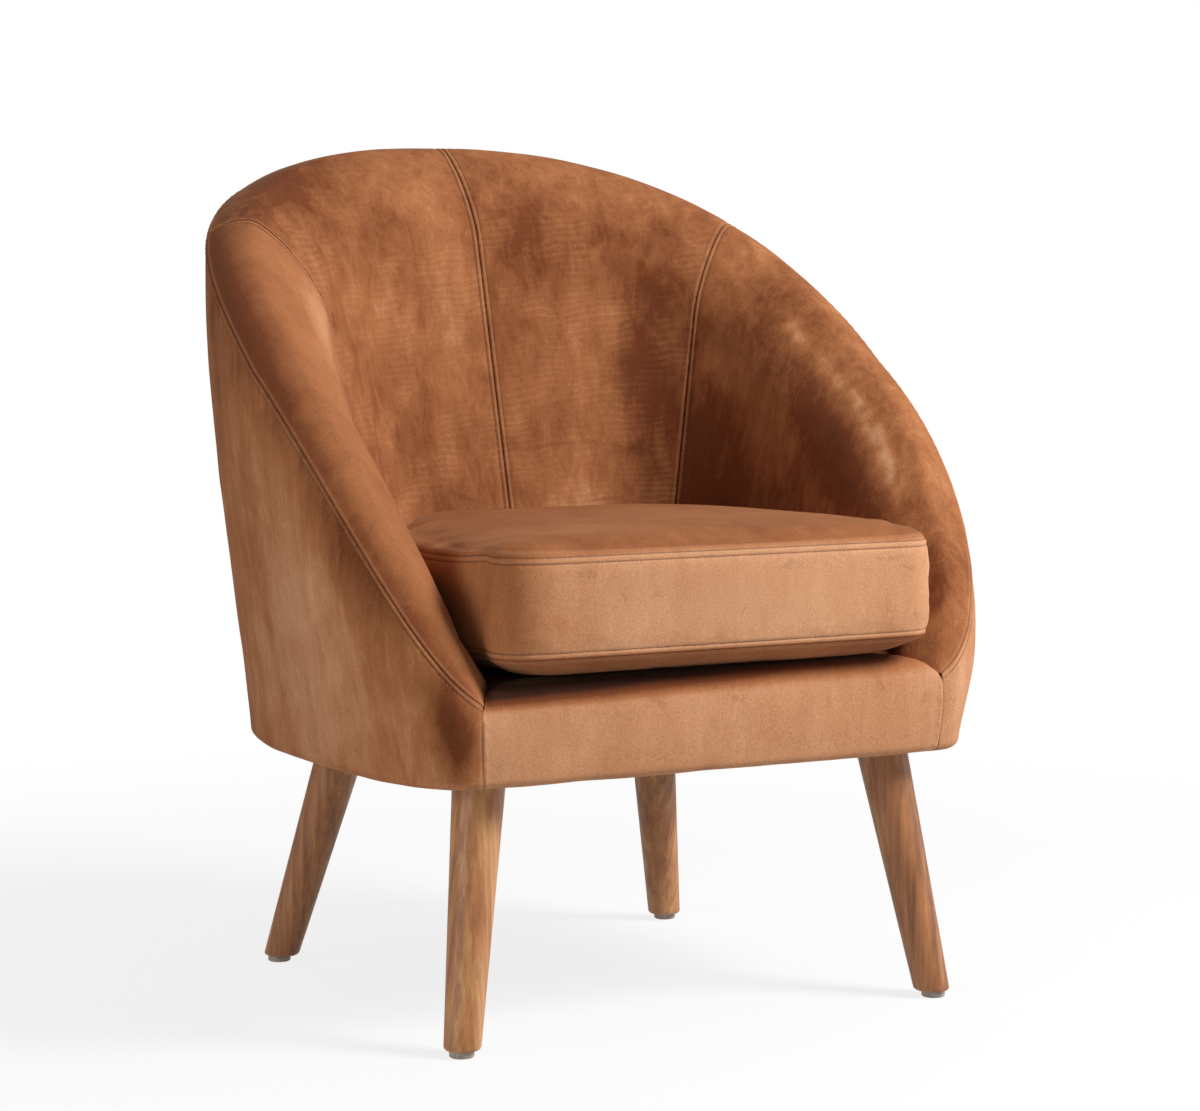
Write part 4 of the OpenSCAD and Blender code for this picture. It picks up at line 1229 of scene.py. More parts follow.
def finished(name: str, bm: bmesh.types.BMesh, sharp: float = 60.0) -> bpy.types.Object:
    """Turns a bmesh into a smooth-shaded object at the origin.

    Args:
        name: The object's name.
        bm: The shape, which is freed.
        sharp: Angle in degrees above which an edge stays sharp.

    Returns:
        The new object.
    """
    mesh = bpy.data.meshes.new(name)
    bm.to_mesh(mesh)
    bm.free()
    mesh.polygons.foreach_set("use_smooth", [True] * len(mesh.polygons))
    mesh.set_sharp_from_angle(angle=math.radians(sharp))
    made = bpy.data.objects.new(name, mesh)
    bpy.context.scene.collection.objects.link(made)
    return made


@dataclass(frozen=True)
class StitchForm:
    """One stitch of thread lying on the cloth."""

    pitch: float = 0.0043
    length: float = 0.0031
    radius: float = 0.00036
    around: int = 6
    batch: int = 24

    def sew(self, bm: bmesh.types.BMesh, points: np.ndarray, ups: np.ndarray) -> int:
        """Sews a row of stitches along a line.

        Args:
            bm: The shape that the stitches are added to.
            points: The line.
            ups: The cloth's normals along it.

        Returns:
            The number of stitches.
        """
        if len(points) < 2:
            return 0
        run = arc_lengths(points)
        count = int(run[-1] / self.pitch)
        middles = (np.arange(count) + 0.5) * run[-1] / max(count, 1)
        for start in range(0, count, self.batch):
            row = bmesh.new()
            self.lay(row, middles[start:start + self.batch], run, points, ups)
            mesh = bpy.data.meshes.new("stitch_row")
            row.to_mesh(mesh)
            row.free()
            bm.from_mesh(mesh)
            bpy.data.meshes.remove(mesh)
        return count

    def lay(self, bm: bmesh.types.BMesh, middles: np.ndarray, run: np.ndarray, points: np.ndarray,
            ups: np.ndarray) -> None:
        """Lays stitches at some places of a line.

        Args:
            bm: The shape that the stitches are added to.
            middles: The run of each stitch's middle.
            run: The run of the line's points.
            points: The line.
            ups: The cloth's normals along it.
        """
        half = self.length / 2
        for m in middles:
            a, b, at = (Vector(along_line(run, points, s)) for s in (m - half, m + half, m))
            up = Vector(along_line(run, ups, m))
            along = (b - a).normalized()
            across = up.cross(along).normalized()
            turn = Matrix((across, along, across.cross(along))).transposed().to_4x4()
            shape = Matrix.Diagonal((self.radius, half, self.radius, 1))
            bmesh.ops.create_uvsphere(bm, u_segments=self.around, v_segments=4, radius=1.0,
                                      matrix=Matrix.Translation(at) @ turn @ shape)


def dressed(piece: bpy.types.Object, material: bpy.types.Material, body: str,
            nodes: Sequence[str] = ()) -> bpy.types.Object:
    """Gives a piece its finish, body and the nodes that it stands for.

    Args:
        piece: The object.
        material: Its finish.
        body: The body that it rides on.
        nodes: The CAD nodes that it replaces.

    Returns:
        The same object.
    """
    piece.data.materials.clear()
    piece.data.materials.append(material)
    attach(piece, body)
    if nodes:
        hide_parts(*nodes)
    LOG.info("%s: %d faces on %s", piece.name, len(piece.data.polygons), body)
    return piece


# Sub-assemblies.


@dataclass
class TubCovers:
    """The sewn covers of the tub, with their topstitching."""

    shape: TubShape
    finishes: Finishes
    seam_run: float = 8 / 28
    step: float = 0.0042
    roll_length: float = 0.036
    wall_length: float = 0.42
    full_wall: float = 0.045
    rail_middle: float = 0.272
    rail_knee: float = 0.300
    rail_top: float = 0.324
    rail_depth: float = 0.056
    rail_level: float = 0.317
    rail_softness: float = 0.006
    rail_tip: float = 0.0022
    deck_level: float = 0.3216
    deck_side: float = 0.0013
    deck_front: float = 0.0568
    deck_back: float = 0.0008
    deck_sag: float = 0.0016
    deck_turn: float = 0.008
    body: str = "chair_frame"

    def __post_init__(self) -> None:
        """Starts the row of stitches."""
        self.thread = bmesh.new()
        self.stitches = 0
        self.form = StitchForm()

    def runs(self, first: float, last: float, left: Edge, right: Edge) -> np.ndarray:
        """Run places of a panel's columns, spaced by their real distance.

        Args:
            first: Its first place along the rim.
            last: Its last place.
            left: How it ends at the first place.
            right: How it ends at the last place.

        Returns:
            The places.
        """
        coarse = np.linspace(first, last, 400)
        rim = self.shape.rim_height(1 - np.abs(coarse))
        length = arc_lengths(self.shape.placed(coarse, np.full_like(coarse, 0.02), rim))
        shares = spread(float(length[-1]), self.step, left, right)
        return np.interp(shares * length[-1], length, coarse)

    def panel(self, node: str, first: float, last: float, left: Edge, right: Edge,
              seed: float) -> Cover:
        """One panel of the tub.

        Args:
            node: The CAD node that it stands for. An inside panel rolls over the top.
            first: Its first place along the rim.
            last: Its last place.
            left: How it ends at the first place.
            right: How it ends at the last place.
            seed: What makes its unevenness its own.

        Returns:
            The cover.
        """
        if node.startswith("inside"):
            near = [s / self.roll_length for s in seam_steps(CLOSE_REACH, False)]
            rows = np.concatenate([near, np.linspace(0.3, 1, 8), np.linspace(1, 2, 26)[1:],
                                   np.linspace(2, 3, 62)[1:]])
            low, high, face = Edge.SEWN, Edge.FREE, self.shape.inside
        else:
            near = [1 - s / self.wall_length for s in reversed(seam_steps(CLOSE_REACH))]
            rows = np.concatenate([np.linspace(-2, -1, 5), np.linspace(-1, 0, 7)[1:],
                                   np.linspace(0, 0.965, 88)[1:], near])
            low, high, face = Edge.FREE, Edge.STITCHED, self.shape.outside
        grid_run, grid_row = np.meshgrid(self.runs(first, last, left, right), rows)
        points = face(grid_run, grid_row)
        fade = np.clip(self.shape.wall(1 - np.abs(grid_run)) / self.full_wall, 0.15, 1)
        # Painted light and shade from the table above, partly the pile's lie.
        nap = sum(light_patch.on(grid_run, grid_row, points) for light_patch in PAINTED_LIGHT_PATCHES[node])
        return Cover(f"{node}_cover", points, nap, left, right, low, high, seed=seed, fade=fade)

    def build(self) -> None:
        """Makes every panel and its stitches."""
        s = self.seam_run
        finishes = self.finishes
        panels = (
            ("outside_arm_left", -1, -s, Edge.SEWN, Edge.STITCHED, 1.3, finishes.outside),
            ("outside_arm_right", s, 1, Edge.STITCHED, Edge.SEWN, 2.9, finishes.outside),
            ("outside_back", -s, s, Edge.SEWN, Edge.SEWN, 4.1, finishes.outside),
            ("inside_arm_left", -1, -s, Edge.SEWN, Edge.STITCHED, 6.7, finishes.left_arm),
            ("inside_arm_right", s, 1, Edge.STITCHED, Edge.SEWN, 8.2, finishes.right_arm),
            ("inside_back_left", -s, 0, Edge.SEWN, Edge.STITCHED, 9.6, finishes.inside_back),
            ("inside_back_right", 0, s, Edge.STITCHED, Edge.SEWN, 11.4, finishes.inside_back),
        )
        for node, first, last, left, right, seed, finish in panels:
            cover = self.panel(node, first, last, left, right, seed)
            dressed(cover.build(), finish, self.body, [node])
            for side in ("left", "right", "high"):
                if getattr(cover, side) is Edge.STITCHED:
                    self.stitches += self.form.sew(self.thread, *cover.stitch_line(side))
        self.rail()
        self.deck()
        LOG.info("tub topstitching: %d stitches", self.stitches)
        dressed(finished("tub_topstitching", self.thread), self.finishes.thread, self.body)

    def rail(self) -> None:
        """Makes the padded front rail's cover, with painted shade along its top under the cushion."""
        shape = self.shape
        f, r, d = shape.front_y, shape.edge_radius, self.rail_depth
        s, top = self.rail_knee, self.rail_top
        rise = top - s
        line = smooth_line(np.array([
            (f + shape.tuck, shape.bottom), (f + r, shape.bottom),
            (f + 0.29 * r, shape.bottom + 0.29 * r), (f, shape.bottom + r),
            (f - 0.0012, self.rail_middle), (f, s), (f + 0.05 * d, s + 0.55 * rise),
            (f + 0.18 * d, s + 0.88 * rise), (f + 0.4 * d, top), (f + 0.75 * d, top),
            (f + 0.93 * d, top - 0.15 * rise), (f + d, top - 0.4 * rise),
            (f + d, shape.wall_foot)]), 64)
        half = shape.corner_x
        shares = 2 * spread(2 * half, self.step, Edge.SEWN, Edge.SEWN) - 1
        share, y = np.meshgrid(shares, line[:, 0])
        z = np.repeat(line[:, 1:2], len(shares), axis=1)
        low = np.clip(z, shape.bottom + r, s)
        edge = shape.placed(np.ones_like(z), shape.outer_u(np.zeros_like(z), low), low)
        soft = self.rail_softness
        face = np.clip((s + soft - z) / (2 * soft), 0, 1)
        shares_q = np.linspace(0, 0.2, 80)
        wall = shape.placed(1 - shares_q, shape.inner_u(shares_q, np.array(self.rail_level)) + 0.0003,
                            np.full_like(shares_q, self.rail_level))
        reach = np.interp(y, wall[:, 1], wall[:, 0])
        bend = np.clip((f + soft - y) / soft, 0, 1)
        reach = np.where(y < f + soft, reach + (half - reach) * bend, reach)
        tip = self.rail_tip * fall(z - s - 0.002, soft)
        reach = reach + face * (edge[..., 0] - half) + 0.0005 + tip
        y = y + face * np.abs(share) ** 9 * (edge[..., 1] - f)
        drop = 1 - 0.5 * np.abs(share) ** 34
        base = np.where(y > f + d / 2, shape.wall_foot, s)
        z = np.where(z > base, base + (z - base) * drop, z)
        # Painted shade along the rail's rounded top under the cushion's edge, darkest at the left end.
        shaded = np.clip((z - s - 0.004 - 0.004 * share) / 0.02, 0, 1) ** 1.2
        nap = 0.20 - 1.35 * shaded * np.clip(0.85 - 0.5 * share, 0.3, 1.3)
        cover = Cover("front_rail_cover_cloth", np.stack([share * reach, y, z], axis=-1), nap,
                      Edge.SEWN, Edge.SEWN, flip=False, seed=14.5)
        dressed(cover.build(), self.finishes.seat, self.body, ["front_rail_cover"])

    def deck(self) -> None:
        """Makes the cloth over the deck's pad, with its edge turned down and painted shade on its top
        under the cushion.
        """
        runs = np.linspace(1 - 22 / 28, 1, 60)
        u = self.shape.inner_u(runs, self.deck_level) + self.deck_side
        line = self.shape.placed(1 - runs, u, np.full_like(runs, self.deck_level))
        ys = np.linspace(self.shape.front_y + self.deck_front, line[-1, 1] - self.deck_back, 60)
        share, y = np.meshgrid(np.linspace(-1, 1, 61), ys)
        x = share * half_widths(line, ys)[:, None]
        sag = self.deck_sag * (1 - share ** 2) * np.sin(np.linspace(0, math.pi, len(ys)))[:, None]
        level = self.deck_level + 0.0017
        points = np.pad(np.stack([x, y, level - sag], axis=-1), ((1, 1), (1, 1), (0, 0)), "edge")
        turned = np.ones(points.shape[:2])
        turned[1:-1, 1:-1] = 0
        points[..., 2] -= self.deck_turn * turned
        # The deck cloth is painted darker as shade under the cushion, except on its turned-down edge.
        cover = Cover("deck_cloth", points, -0.5 * (1 - turned), flip=False, seed=17.0, swell=0.0004)
        dressed(cover.build(), self.finishes.seat, self.body, ["deck_cover"])


@dataclass
class SeatCushion:
    """The loose boxed seat cushion with its topstitched seams, zip and zip slider."""

    shape: TubShape
    finishes: Finishes
    body: str = "seat_cushion"
    front_y: float = -0.3053
    half_width: float = 0.224
    corner_radius: float = 0.036
    side_gap: float = 0.0045
    back_gap: float = 0.0085
    seam_low: float = 0.3463
    seam_high: float = 0.4343
    crown: float = 0.0175
    belly: float = 0.0215
    swell: float = 0.0024
    sag: float = 0.0065
    sunk_from: Tuple[float, float] = (-0.11, -0.25)
    zip_half: float = 0.100
    slot_half: float = 0.0056
    slot_depth: float = 0.0014
    half_size: float = 0.20
    around: int = 300
    voxel: float = 0.005
    frames: int = 20
    neighbours: int = 14
    seam_hold: float = 0.006
    give: float = 0.002
    boxing_give: float = 0.0012
    crown_hold: float = 0.001

    @property
    def back_y(self) -> float:
        """The cushion's straight back."""
        wall = self.shape.inner_u(np.array(1.0), np.array(self.seam_low))
        return float(self.shape.back_y - wall - self.back_gap)

    def plan(self) -> np.ndarray:
        """The cushion's outline at its seams.

        Returns:
            A closed line of evenly spaced points, the last one equal to the first.
        """
        runs = np.linspace(26 / 28, 6 / 28, 60)
        u = self.shape.inner_u(1 - runs, np.array(self.seam_low)) + self.side_gap
        wall = self.shape.placed(runs, u, np.full_like(runs, self.seam_low))[:, :2]
        middle = np.array([self.half_width - self.corner_radius, self.front_y + self.corner_radius])
        angles = np.radians(np.linspace(-90, 0, 14))
        arc = middle + self.corner_radius * np.stack([np.cos(angles), np.sin(angles)], axis=1)
        half = np.vstack([[[0, self.front_y]], arc, wall, [[self.zip_half + 0.0016, self.back_y]],
                          [[0, self.back_y]]])
        line = np.vstack([half, (half * [-1, 1])[::-1][1:]])
        ring = even_line(line, self.around + 1)[:-1]
        for _ in range(6):
            ring = 0.25 * np.roll(ring, 1, axis=0) + 0.5 * ring + 0.25 * np.roll(ring, -1, axis=0)
        return np.vstack([ring, ring[:1]])

    def rows(self) -> List[Tuple[str, float]]:
        """The cushion's rings from the middle of its belly to the middle of its crown.

        Returns:
            The zone of each ring and its place in the zone.
        """
        near = [s / self.half_size for s in seam_steps(CLOSE_REACH, False)]
        inward = sorted(set([1 - n for n in near] + list(np.linspace(0, 0.955, 34) ** 0.8)))
        height = self.seam_high - self.seam_low
        up = spread(height, 0.0036, Edge.STITCHED, Edge.STITCHED)
        return ([("belly", s) for s in inward] + [("boxing", t) for t in up[1:-1]]
                + [("crown", s) for s in reversed(inward)])

    def grid(self) -> Tuple[np.ndarray, np.ndarray, np.ndarray]:
        """The cushion's plain form.

        Returns:
            The points, their distance to the nearest seam, and to the stitched side of a seam.
        """
        plan = self.plan()
        middle = np.array([0, (self.front_y + self.back_y) / 2])
        way = plan - middle
        out = way / np.linalg.norm(way, axis=1, keepdims=True)
        back = np.clip((plan[:, 1] - self.back_y + 0.012) / 0.010, 0, 1)
        rings, seams, stitches = [], [], []
        height = self.seam_high - self.seam_low
        for zone, s in self.rows():
            if zone == "boxing":
                bulge = self.swell * (1 - (2 * s - 1) ** 4) * (1 - back)
                flat = plan + out * bulge[:, None]
                z = self.seam_low + s * height
                gap = min(s, 1 - s) * height
                stitch = gap
            else:
                flat = middle + way * s
                near = (1 - s) * np.linalg.norm(way, axis=1)
                rise = self.crown * (0.66 * (1 - np.exp(-near / 0.009)) + 0.34 * (1 - s * s))
                z = (self.seam_high + rise if zone == "crown"
                     else self.seam_low - self.belly * (1 - s ** 9))
                gap = (1 - s) * self.half_size
                stitch = 1.0
            x_from, y_from = self.sunk_from
            sunk = (np.clip((x_from - flat[:, 0]) / 0.09, 0, 1)
                    * np.clip((flat[:, 1] - y_from) / 0.12, 0, 1))
            lift = 1.0 if zone == "crown" else (s if zone == "boxing" else 0.0)
            rings.append(np.column_stack([flat, z - self.sag * lift * sunk * (2 - sunk)]))
            seams.append(np.full(len(plan), gap))
            stitches.append(np.full(len(plan), stitch))
        return np.array(rings), np.array(seams), np.array(stitches)

    def puffed(self, points: np.ndarray, seam: np.ndarray) -> np.ndarray:
        """Lets the cushion's cover fill out, by cloth simulation on a remeshed copy.

        Args:
            points: The plain form.
            seam: Distance of its points to the nearest seam.

        Returns:
            How far each point moves.
        """
        copy = laid_grid("cushion_swell", points, {}, False, 0.0, True)
        mesher = copy.modifiers.new("voxels", "REMESH")
        mesher.mode = "VOXEL"
        mesher.voxel_size = self.voxel
        depsgraph = bpy.context.evaluated_depsgraph_get()
        rough = bpy.data.meshes.new_from_object(copy.evaluated_get(depsgraph))
        copy.modifiers.clear()
        copy.data = rough
        start = np.array([v.co for v in rough.vertices])
        tree = point_tree(points.reshape(-1, 3))
        flat_seam = seam.reshape(-1)
        held = copy.vertex_groups.new(name="held")
        for i, p in enumerate(start):
            gap = flat_seam[tree.find(Vector(p))[1]]
            held.add([i], 1.0 if gap < self.seam_hold else 0.0, "REPLACE")
        rules = copy.modifiers.new("cloth", "CLOTH").settings
        rules.quality = 6
        rules.mass = 0.25
        rules.tension_stiffness = rules.compression_stiffness = 12
        rules.shear_stiffness = 6
        rules.bending_stiffness = 0.4
        rules.use_pressure = True
        rules.uniform_pressure_force = 4.0
        rules.shrink_min = -0.035
        rules.vertex_group_mass = "held"
        rules.effector_weights.gravity = 0.0
        scene = bpy.context.scene
        for frame in range(1, self.frames + 1):
            scene.frame_set(frame)
        result = copy.evaluated_get(bpy.context.evaluated_depsgraph_get()).to_mesh()
        end = np.array([v.co for v in result.vertices])
        scene.frame_set(1)
        move = end - start
        length = np.linalg.norm(move, axis=1, keepdims=True)
        move *= np.minimum(1, 0.008 / np.maximum(length, 1e-9))
        LOG.info("cushion filled out by up to %.1f mm", 1000 * length.max())
        moved = point_tree(start)
        shift = np.array([
            np.mean([move[i] for _, i, _ in moved.find_n(Vector(p), self.neighbours)], axis=0)
            for p in points.reshape(-1, 3)]).reshape(points.shape)
        bpy.data.objects.remove(copy)
        return shift

    def build(self) -> None:
        """Makes the cushion, its stitches and its zip."""
        points, seam, stitch = self.grid()
        normals = closed_normals(points)
        shift = self.puffed(points, seam)
        outward = (shift * normals).sum(axis=-1)
        belly = points[..., 2] < self.seam_low - 0.002
        side = (points[..., 2] < self.seam_high + 0.001) & ~belly
        outward = np.where(belly, np.clip(outward, -self.give, 0.0), outward)
        outward = np.where(side, np.clip(outward, -self.give, self.boxing_give),
                           np.clip(outward - self.crown_hold, -self.give, self.give))
        form = SeamForm(proud=0.0002, puff=0.0006, puff_reach=0.012, sink=0.0009, ridge=0.0003,
                        ridge_reach=0.0020)
        height = form.height(seam, stitch) + outward * (1 - fall(seam, self.seam_hold))
        height += 0.0006 * unevenness(points, 0.06, 21.0) * (1 - np.exp(-seam / form.flat_reach))
        height += self.gathers(points, seam)
        height = np.where(belly, np.minimum(height, 0.0003), height)
        slot = self.zip_slot(points)
        face = points + normals * (height * (1 - slot) - self.slot_depth * slot)[..., None]
        fields = {"seam_gap": seam, "stitch_gap": stitch, "nap": self.nap(points)}
        cushion = laid_grid("seat_cushion_cover", face, fields, False, 0.0, True)
        dressed(cushion, self.finishes.seat, self.body,
                ["cushion_foam", "cushion_top_panel", "cushion_bottom_panel", "cushion_boxing",
                 "cushion_back_boxing"])
        self.sew(face, seam, stitch)
        self.zip()

    def nap(self, points: np.ndarray) -> np.ndarray:
        """How the pile lies on the cushion: lighter on the boxing and darker on the seat, partly the
        pile's lie and partly painted light and shade, with painted shade on the boxing's left end.
        """
        z, x = points[..., 2], points[..., 0]
        boxing = (np.clip((z - self.seam_low) / 0.004, 0, 1)
                  * np.clip((self.seam_high - z) / 0.004 + 1, 0, 1))
        left_shade = fall(x + self.half_width, 0.06)
        return 0.28 * boxing - 0.28 * left_shade * boxing - 0.16 * (1 - boxing)

    def zip_slot(self, points: np.ndarray) -> np.ndarray:
        """Where the back boxing lies open over the zip: 1 in the slot and 0 beside it."""
        low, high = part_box("zip_tape")
        away = np.abs(points[..., 2] - (low.z + high.z) / 2)
        beside = np.abs(points[..., 0]) < self.zip_half + 0.0005
        at_back = points[..., 1] > self.back_y - 0.001
        return np.exp(-(away / self.slot_half) ** 6) * (beside & at_back)

    def gathers(self, points: np.ndarray, seam: np.ndarray) -> np.ndarray:
        """Small folds that fan from the seams at the cushion's front corners."""
        x, y = points[..., 0], points[..., 1]
        near = fall(np.abs(x) - self.half_width + 0.012, 0.03) * fall(y - self.front_y - 0.012, 0.035)
        angle = np.arctan2(y - self.front_y - 0.05, np.abs(x) - self.half_width + 0.05)
        folds = np.sin(angle * 42) * 0.6 + np.sin(angle * 71 + 1) * 0.4
        return 0.0008 * near * folds * np.exp(-seam / 0.010) * (1 - fall(seam, 0.0015))

    def sew(self, face: np.ndarray, seam: np.ndarray, stitch: np.ndarray) -> None:
        """Adds the two rows of topstitching on the boxing.

        Args:
            face: The cushion's finished points.
            seam: Distance to the nearest seam. Not used.
            stitch: The same on the boxing alone.
        """
        normals = closed_normals(face)
        thread = bmesh.new()
        count = 0
        form = StitchForm()
        zones = [zone for zone, _ in self.rows()]
        rows = [i for i, zone in enumerate(zones) if zone == "boxing"]
        for half in (rows[:len(rows) // 2], rows[len(rows) // 2:]):
            row = min(half, key=lambda i: abs(stitch[i, 0] - SeamForm().stitch_place))
            keep = face[row][:, 1] < self.back_y - 0.03
            first = int(np.argmax(~keep))
            order = np.roll(np.arange(len(keep) - 1), -first)
            line = [i for i in order if keep[i]]
            count += form.sew(thread, face[row][line], normals[row][line])
        LOG.info("cushion topstitching: %d stitches", count)
        dressed(finished("cushion_topstitching", thread), self.finishes.thread, self.body)

    def zip(self) -> None:
        """Makes the zip's tape, its teeth and the slider."""
        low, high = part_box("zip_tape")
        middle = Vector((0, self.back_y, (low.z + high.z) / 2))
        tape, teeth, slider = bmesh.new(), bmesh.new(), bmesh.new()
        for hand in (-1, 1):
            bmesh.ops.create_grid(tape, x_segments=60, y_segments=6, size=0.5, matrix=(
                scaled(middle + Vector((0, -0.0004, hand * 0.0066)), (2 * self.zip_half, 1, 0.0106))
                @ Matrix.Rotation(math.pi / 2, 4, "X")))
        bmesh.ops.recalc_face_normals(tape, faces=tape.faces)
        bmesh.ops.solidify(tape, geom=tape.faces[:] + tape.edges[:] + tape.verts[:], thickness=0.0007)
        pitch, reach = 0.0021, self.zip_half - 0.004
        for i in range(int(2 * reach / pitch)):
            place = Vector((-reach + (i + 0.5) * pitch, 0.0004, 0.0005 if i % 2 else -0.0005))
            bmesh.ops.create_uvsphere(teeth, u_segments=8, v_segments=4, radius=1.0,
                                      matrix=scaled(middle + place, (0.0008, 0.0008, 0.0019)))
        low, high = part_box("zip_slider")
        corner = Vector(((low.x + high.x) / 2, low.y, high.z))
        for place, size in (((0, 0.0013, -0.0045), (0.0136, 0.0026, 0.009)),
                            ((0, 0.0032, -0.012), (0.006, 0.0012, 0.023))):
            bmesh.ops.create_cube(slider, size=1.0, matrix=scaled(corner + Vector(place), size))
        bmesh.ops.bevel(slider, geom=slider.edges[:], affect="EDGES", offset=0.00055, segments=3,
                        profile=0.5, material=-1)
        cloth = self.finishes.zip_cloth
        dressed(finished("zip_tape_cloth", tape), cloth, self.body, ["zip_tape"])
        dressed(finished("zip_teeth", teeth), cloth, self.body)
        dressed(finished("zip_slider_metal", slider, 40), self.finishes.nickel,
                "zip_slider", ["zip_slider"])


def scaled(place: Vector, size: Sequence[float]) -> Matrix:
    """A matrix that sizes a shape and then moves it to its place."""
    return Matrix.Translation(place) @ Matrix.Diagonal((*size, 1))


def point_tree(points: np.ndarray) -> KDTree:
    """A tree that finds the nearest of some points."""
    tree = KDTree(len(points))
    for i, point in enumerate(points):
        tree.insert(Vector(point), i)
    tree.balance()
    return tree


def closed_normals(points: np.ndarray) -> np.ndarray:
    """Outward unit normals of a closed ring grid whose last column repeats the first."""
    ring = np.concatenate([points[:, -2:-1], points, points[:, 1:2]], axis=1)
    normal = np.cross(np.gradient(ring, axis=1), np.gradient(ring, axis=0))[:, 1:-1]
    length = np.linalg.norm(normal, axis=-1, keepdims=True)
    normal = normal / np.maximum(length, 1e-12)
    poles = length[..., 0] < 1e-9
    normal[poles] = [0, 0, 1]
    normal[0] = [0, 0, -1]
    return normal


@dataclass
class Legs:
    """Four turned legs splayed outwards, with softened feet."""

    shape: TubShape
    top_diameter: float = 0.0475
    foot_diameter: float = 0.0326
    cut_low: float = 0.006
    cut_high: float = 0.2333
    softened: float = 0.0034
    overlength: float = 0.03
    body: str = "chair_frame"

    def places(self) -> Dict[str, Tuple[Vector, Vector]]:
        """The middle of each leg's top and of its foot."""
        front_y, back_y = self.shape.front_y + 0.060, self.shape.back_y - 0.175
        found = {}
        for side, hand in (("left", -1), ("right", 1)):
            for end, top_x, foot_x, y, splay in (("front", 0.212, 0.2485, front_y, -0.0365),
                                                 ("back", 0.171, 0.221, back_y, 0.055)):
                found[f"leg_{end}_{side}"] = (Vector((hand * top_x, y, self.shape.bottom)),
                                              Vector((hand * foot_x, y + splay, 0)))
        return found

    def build(self) -> None:
        """Turns the legs."""
        for name, (top, foot) in self.places().items():
            axis = (top - foot).normalized()
            length = (top - foot).length
            taper = (self.top_diameter - self.foot_diameter) / 2 / length
            bm = bmesh.new()
            spine = [bm.verts.new((self.foot_diameter / 2 + taper * z, 0, z))
                     for z in np.linspace(-self.overlength, length + self.overlength, 14)]
            edges = [bm.edges.new(pair) for pair in zip(spine, spine[1:])]
            bmesh.ops.spin(bm, geom=spine + edges, cent=(0, 0, 0), axis=(0, 0, 1),
                           angle=2 * math.pi, steps=72, use_merge=True)
            bmesh.ops.remove_doubles(bm, verts=bm.verts, dist=0.00001)
            turn = Vector((0, 0, 1)).rotation_difference(axis).to_matrix().to_4x4()
            bmesh.ops.transform(bm, matrix=Matrix.Translation(foot) @ turn, verts=bm.verts)
            for height, up in ((self.cut_low, -1), (self.cut_high, 1)):
                bmesh.ops.bisect_plane(bm, geom=bm.verts[:] + bm.edges[:] + bm.faces[:], dist=1e-6,
                                       plane_co=(0, 0, height), plane_no=(0, 0, up), clear_outer=True)
            rims = [e for e in bm.edges if e.is_boundary]
            bmesh.ops.holes_fill(bm, edges=rims, sides=0)
            bmesh.ops.recalc_face_normals(bm, faces=bm.faces)
            foot_rim = [e for e in rims if e.is_valid and e.verts[0].co.z < 0.1]
            bmesh.ops.bevel(bm, geom=foot_rim, affect="EDGES", offset=self.softened, segments=4,
                            profile=0.5, material=-1)
            tilt = axis.to_track_quat("Z", "Y").to_euler()
            oak = StainedOak(f"stained_oak_{name}", (-tilt.x, -tilt.y, 0.4 + 1.7 * top.x)).make()
            dressed(finished(f"{name}_turned", bm, 35), oak, self.body, [name])


@dataclass
class Underside:
    """What closes the chair below: the stretched dust cloth."""

    shape: TubShape
    finishes: Finishes
    inset: float = 0.0233
    level: float = 0.2363
    back_half: float = 0.03
    body: str = "chair_frame"

    def build(self) -> None:
        """Makes the dust cloth."""
        runs = np.linspace(1 - 26 / 28, 1, 80)
        v = self.shape.bottom + self.shape.edge_radius
        u = self.shape.outer_u(runs, np.array(v)) + self.inset
        line = self.shape.placed(1 - runs, u, np.full_like(runs, v))
        ys = np.linspace(self.shape.front_y + self.inset, line[-1, 1] - 0.0002, 90)
        half = half_widths(line, ys)
        half[-1] = max(half[-1], self.back_half)
        share, y = np.meshgrid(np.linspace(-1, 1, 91), ys)
        points = np.stack([share * half[:, None], y, np.full_like(y, self.level)], axis=-1)
        points[..., 2] += 0.0003 * unevenness(points * [1, 0.3, 1], 0.02, 3.0)
        cloth = laid_grid("dust_cloth_sheet", points, {}, True, 0.0006)
        dressed(cloth, self.finishes.lining, self.body, ["dust_cover"])


class FrameNodes:
    """The CAD nodes that are kept, each with the finish of its real material."""

    def __init__(self, frame: dict, finishes: Finishes) -> None:
        """Keeps the frame.

        Args:
            finishes: The finishes.
        """
        self.nodes = frame["nodes"]
        self.kinds = {
            finishes.plywood: ("base_ring", "deck_ring", "front_rail_board", "arm_posts_left",
                               "arm_posts_right", "back_posts", "arm_rail_left", "arm_rail_right",
                               "back_top_rail"),
            finishes.block: ("corner_blocks", "deck_blocks"),
            finishes.hardboard: ("inner_liner", "outer_liner"),
            finishes.foam: ("front_rail_foam", "arm_tip_foam", "arm_foam_left", "arm_foam_right",
                            "back_foam"),
            finishes.felt: ("deck_pad", "outside_wadding"),
            finishes.webbing: ("webbing_lengthwise", "webbing_crosswise"),
            finishes.zinc: ("leg_plates", "plate_screws", "leg_bolts", "webbing_staples",
                            "bottom_staples"),
            finishes.nylon: ("glide_front_left", "glide_front_right", "glide_back_left",
                             "glide_back_right"),
        }

    def dress(self) -> None:
        """Gives every kept node its finish."""
        for material, names in self.kinds.items():
            for name in names:
                node = self.nodes[name]
                for place in node.material_slots:
                    place.material = material
                LOG.info("%s: %s", name, material.name)


